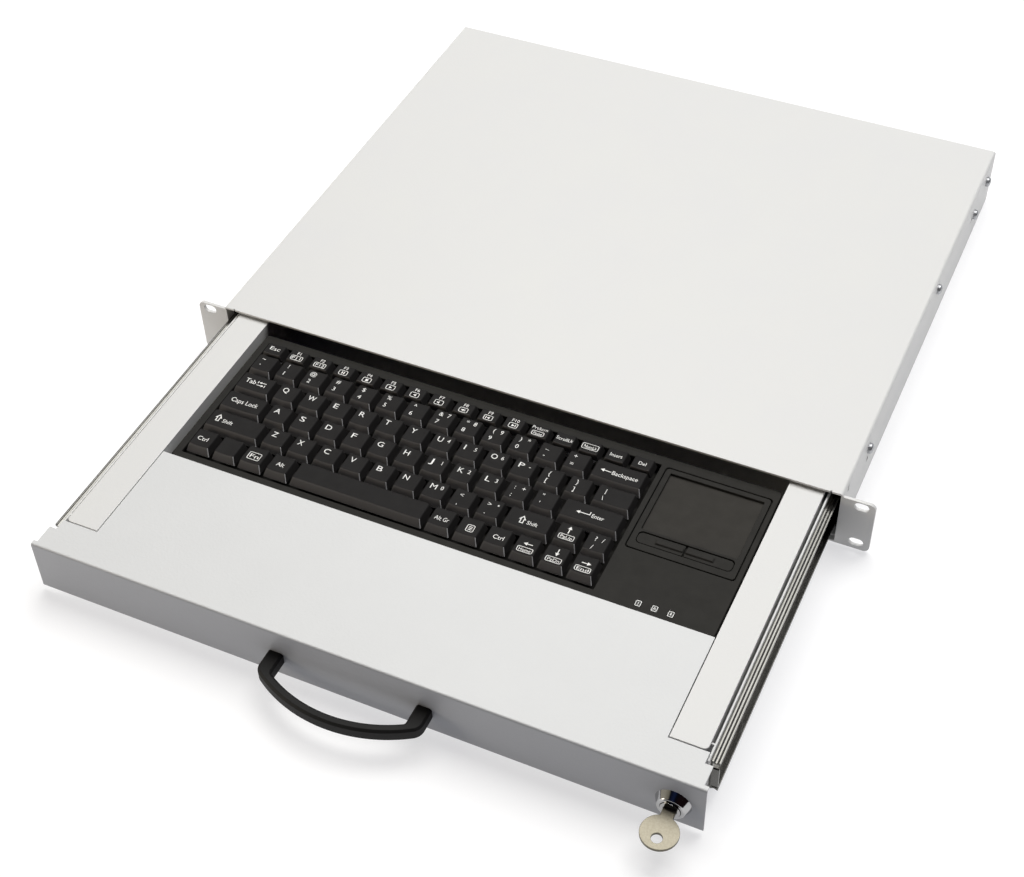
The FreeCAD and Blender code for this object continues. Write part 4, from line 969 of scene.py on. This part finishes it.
# %% [markdown]
# The keyboard's case is two mouldings. A mould can't have sharp edges either, so the same copy and bevel do,
# with a larger radius and one more step than on sheet metal.

# %% Keyboard case
for node, radius in (("keyboard_lower_case", 0.6), ("keyboard_upper_case", 0.5)):
    shell = soften(merged_copy(node, node + "_moulding"), radius, segments=3)
    settle(shell, node, case_black)
    print(shell.name, len(shell.data.polygons), "faces")

# %% [markdown]
# The touchpad is a frame set into the case with a black groove round it, a film-covered plate that lies
# deeper, and two buttons that share a window. The frame and buttons are drawn in a little, so that the
# grooves show, and each button gets a raised grip: a block whose top is narrowed and whose edges are
# rounded.

# %% Touchpad frame and plate
GROOVE = 0.4 * MM


def drawn_in(node, name, gap):
    """A copy of a CAD node that is smaller by a gap on each side, seen from above."""
    piece = merged_copy(node, name)
    low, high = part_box(node)
    size = high - low
    edit(piece)
    bpy.ops.mesh.select_all(action="SELECT")
    share = (1 - 2 * gap / size.x, 1 - 2 * gap / size.y, 1)
    bpy.ops.transform.resize(value=share, center_override=(low + high) / 2)
    bpy.ops.object.mode_set(mode="OBJECT")
    return piece


pad_frame = soften(drawn_in("touchpad_frame", "touchpad_frame_moulding", GROOVE), radius_mm=0.35)
settle(pad_frame, "touchpad_frame", case_black)
pad_film = soften(merged_copy("touchpad_plate", "touchpad_film"), radius_mm=0.1)
settle(pad_film, "touchpad_plate", pad_black)
print("touchpad frame:", len(pad_frame.data.polygons), "faces")

# %% Touchpad buttons
GRIP_LENGTH, GRIP_DEPTH, GRIP_HEIGHT = 19.0 * MM, 5.4 * MM, 1.0 * MM
GRIP_TOP_SHARE = 0.55
GRIP_SLOPE = 2.0 * MM
for side, outward in (("left", -1), ("right", 1)):
    node = "pad_button_" + side
    low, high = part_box(node)
    button = soften(drawn_in(node, node + "_moulding", GROOVE), radius_mm=0.4)
    inner = (high if side == "left" else low).x + outward * 2 * GROOVE
    ends = sorted((inner, inner + outward * GRIP_LENGTH))
    middle = (low.y + high.y) / 2
    grip = block(
        (ends[0], middle - GRIP_DEPTH / 2, high.z - GRIP_HEIGHT),
        (ends[1], middle + GRIP_DEPTH / 2, high.z + GRIP_HEIGHT),
    )
    edit(grip)
    pick("verts", lambda vert: vert.co.z > high.z)
    bpy.ops.transform.resize(value=(1, GRIP_TOP_SHARE, 1), center_override=(0, middle, 0))
    pick("verts", lambda vert: vert.co.z > high.z and abs(vert.co.x - inner) > GRIP_LENGTH / 2)
    bpy.ops.transform.translate(value=(-outward * GRIP_SLOPE, 0, 0))
    bpy.ops.object.mode_set(mode="OBJECT")
    soften(grip, radius_mm=0.2)
    only(button, grip)
    bpy.ops.object.join()
    settle(button, node, case_black)
print("touchpad buttons:", len(button.data.polygons), "faces each")

# %% [markdown]
# Three small windows near the front edge show lamps. Each has a printed white ring with a plain sign in it,
# made and laid down as the legends are.

# %% Indicator windows
WINDOW = 3.6 * MM
LAMP_RING = ring_box(3.5, 4.3, 0.4, 0.5)
LAMP_LETTERS, LAMP_CAP = ("1", "A", None), 2.2  # the third has an arrow
LAMP_ARROW = arrow(2.4, 270, 0.6, 1.2)
lenses = soften(merged_copy("indicator_lenses", "indicator_windows"), radius_mm=0.2)
settle(lenses, "indicator_lenses", smoked)
low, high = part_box("indicator_lenses")
lamp_y = (low.y + high.y) / 2
lamp_pitch = (high.x - low.x - WINDOW) / 2
lamp_marks = []
for number, letter in enumerate(LAMP_LETTERS):
    at = Vector((low.x + WINDOW / 2 + number * lamp_pitch, lamp_y, 0))
    lamp_marks.append(shape_mark(at, LAMP_RING, 0, 0))
    lamp_marks.append(
        text_mark(at, letter, LAMP_CAP, 0, 0) if letter else shape_mark(at, [LAMP_ARROW], 0, 0)
    )
press_print(lamp_marks, "indicator_print", lenses, body_of["indicator_lenses"])
print("indicator marks:", len(lamp_marks))

# %% [markdown]
# The bow handle is one nylon moulding. Broad flat chamfers along its bar give it an eight-sided section, so
# a one-step bevel comes first and a fine one rounds the edges that it leaves. The feet stay square where
# they stand on the panel, and so do the screw holes in them, so edges near the screws' axes aren't chosen.

# %% Handle
CHAMFER, CHAMFER_ANGLE = 1.4 * MM, math.radians(60)
HANDLE_ROUND = 0.25  # in mm
SCREW_CLEARANCE = 3 * MM
handle = merged_copy("bow_handle", "bow_handle_moulding")
foot_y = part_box("bow_handle")[1].y
screws_low, screws_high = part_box("handle_screws")
screw_x = screws_high.x - (screws_high.z - screws_low.z) / 2
screw_z = (screws_low.z + screws_high.z) / 2
edit(handle)
pick(
    "edges",
    lambda edge: edge.calc_face_angle() > CHAMFER_ANGLE
    and any(vert.co.y < foot_y - NEAR for vert in edge.verts)
    and any(
        math.hypot(abs(vert.co.x) - screw_x, vert.co.z - screw_z) > SCREW_CLEARANCE for vert in edge.verts
    ),
)
bpy.ops.mesh.bevel(offset=CHAMFER, segments=1, affect="EDGES", loop_slide=False)
bpy.ops.object.mode_set(mode="OBJECT")
soften(handle, HANDLE_ROUND)
settle(handle, "bow_handle", grip_black)
print(handle.name, len(handle.data.polygons), "faces")

# %% [markdown]
# The lock is turned and chromed brass. It could be spun from a profile, but its CAD shape is right already
# and only lacks soft edges. The rim of its cone is picked by its distance from the lock's axis and rounded
# over in edit mode, and the plug and the key get fine soft edges all over.

# %% Lock
LOCK_ROUND = 0.8 * MM
BORE_CLEARANCE = 1 * MM
flange = merged_copy("lock_body", "lock_flange")
face_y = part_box("lock_body")[0].y
plug_low, plug_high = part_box("lock_plug")
axis = (plug_low + plug_high) / 2
bore = (plug_high.x - plug_low.x) / 2 + BORE_CLEARANCE
edit(flange)
pick(
    "edges",
    lambda edge: all(abs(vert.co.y - face_y) < NEAR for vert in edge.verts)
    and all(math.hypot(vert.co.x - axis.x, vert.co.z - axis.z) > bore for vert in edge.verts),
)
bpy.ops.mesh.bevel(offset=LOCK_ROUND, segments=4, affect="EDGES")
bpy.ops.object.mode_set(mode="OBJECT")
smooth(flange)
settle(flange, "lock_body", chrome)
for node, radius, finish in (("lock_plug", 0.2, chrome), ("lock_key", 0.3, nickel)):
    piece = soften(merged_copy(node, node + "_turned"), radius)
    settle(piece, node, finish)
print("lock made, axis at", [round(value / MM, 1) for value in axis])

# %% [markdown]
# Dressing must not change the object's size. The last cell prints the box of the dressed model, so that it
# can be compared with the box of the CAD model printed at the start.

# %% Sizes
low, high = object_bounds()
print("visual box in mm:", [round(size / MM, 1) for size in high - low])
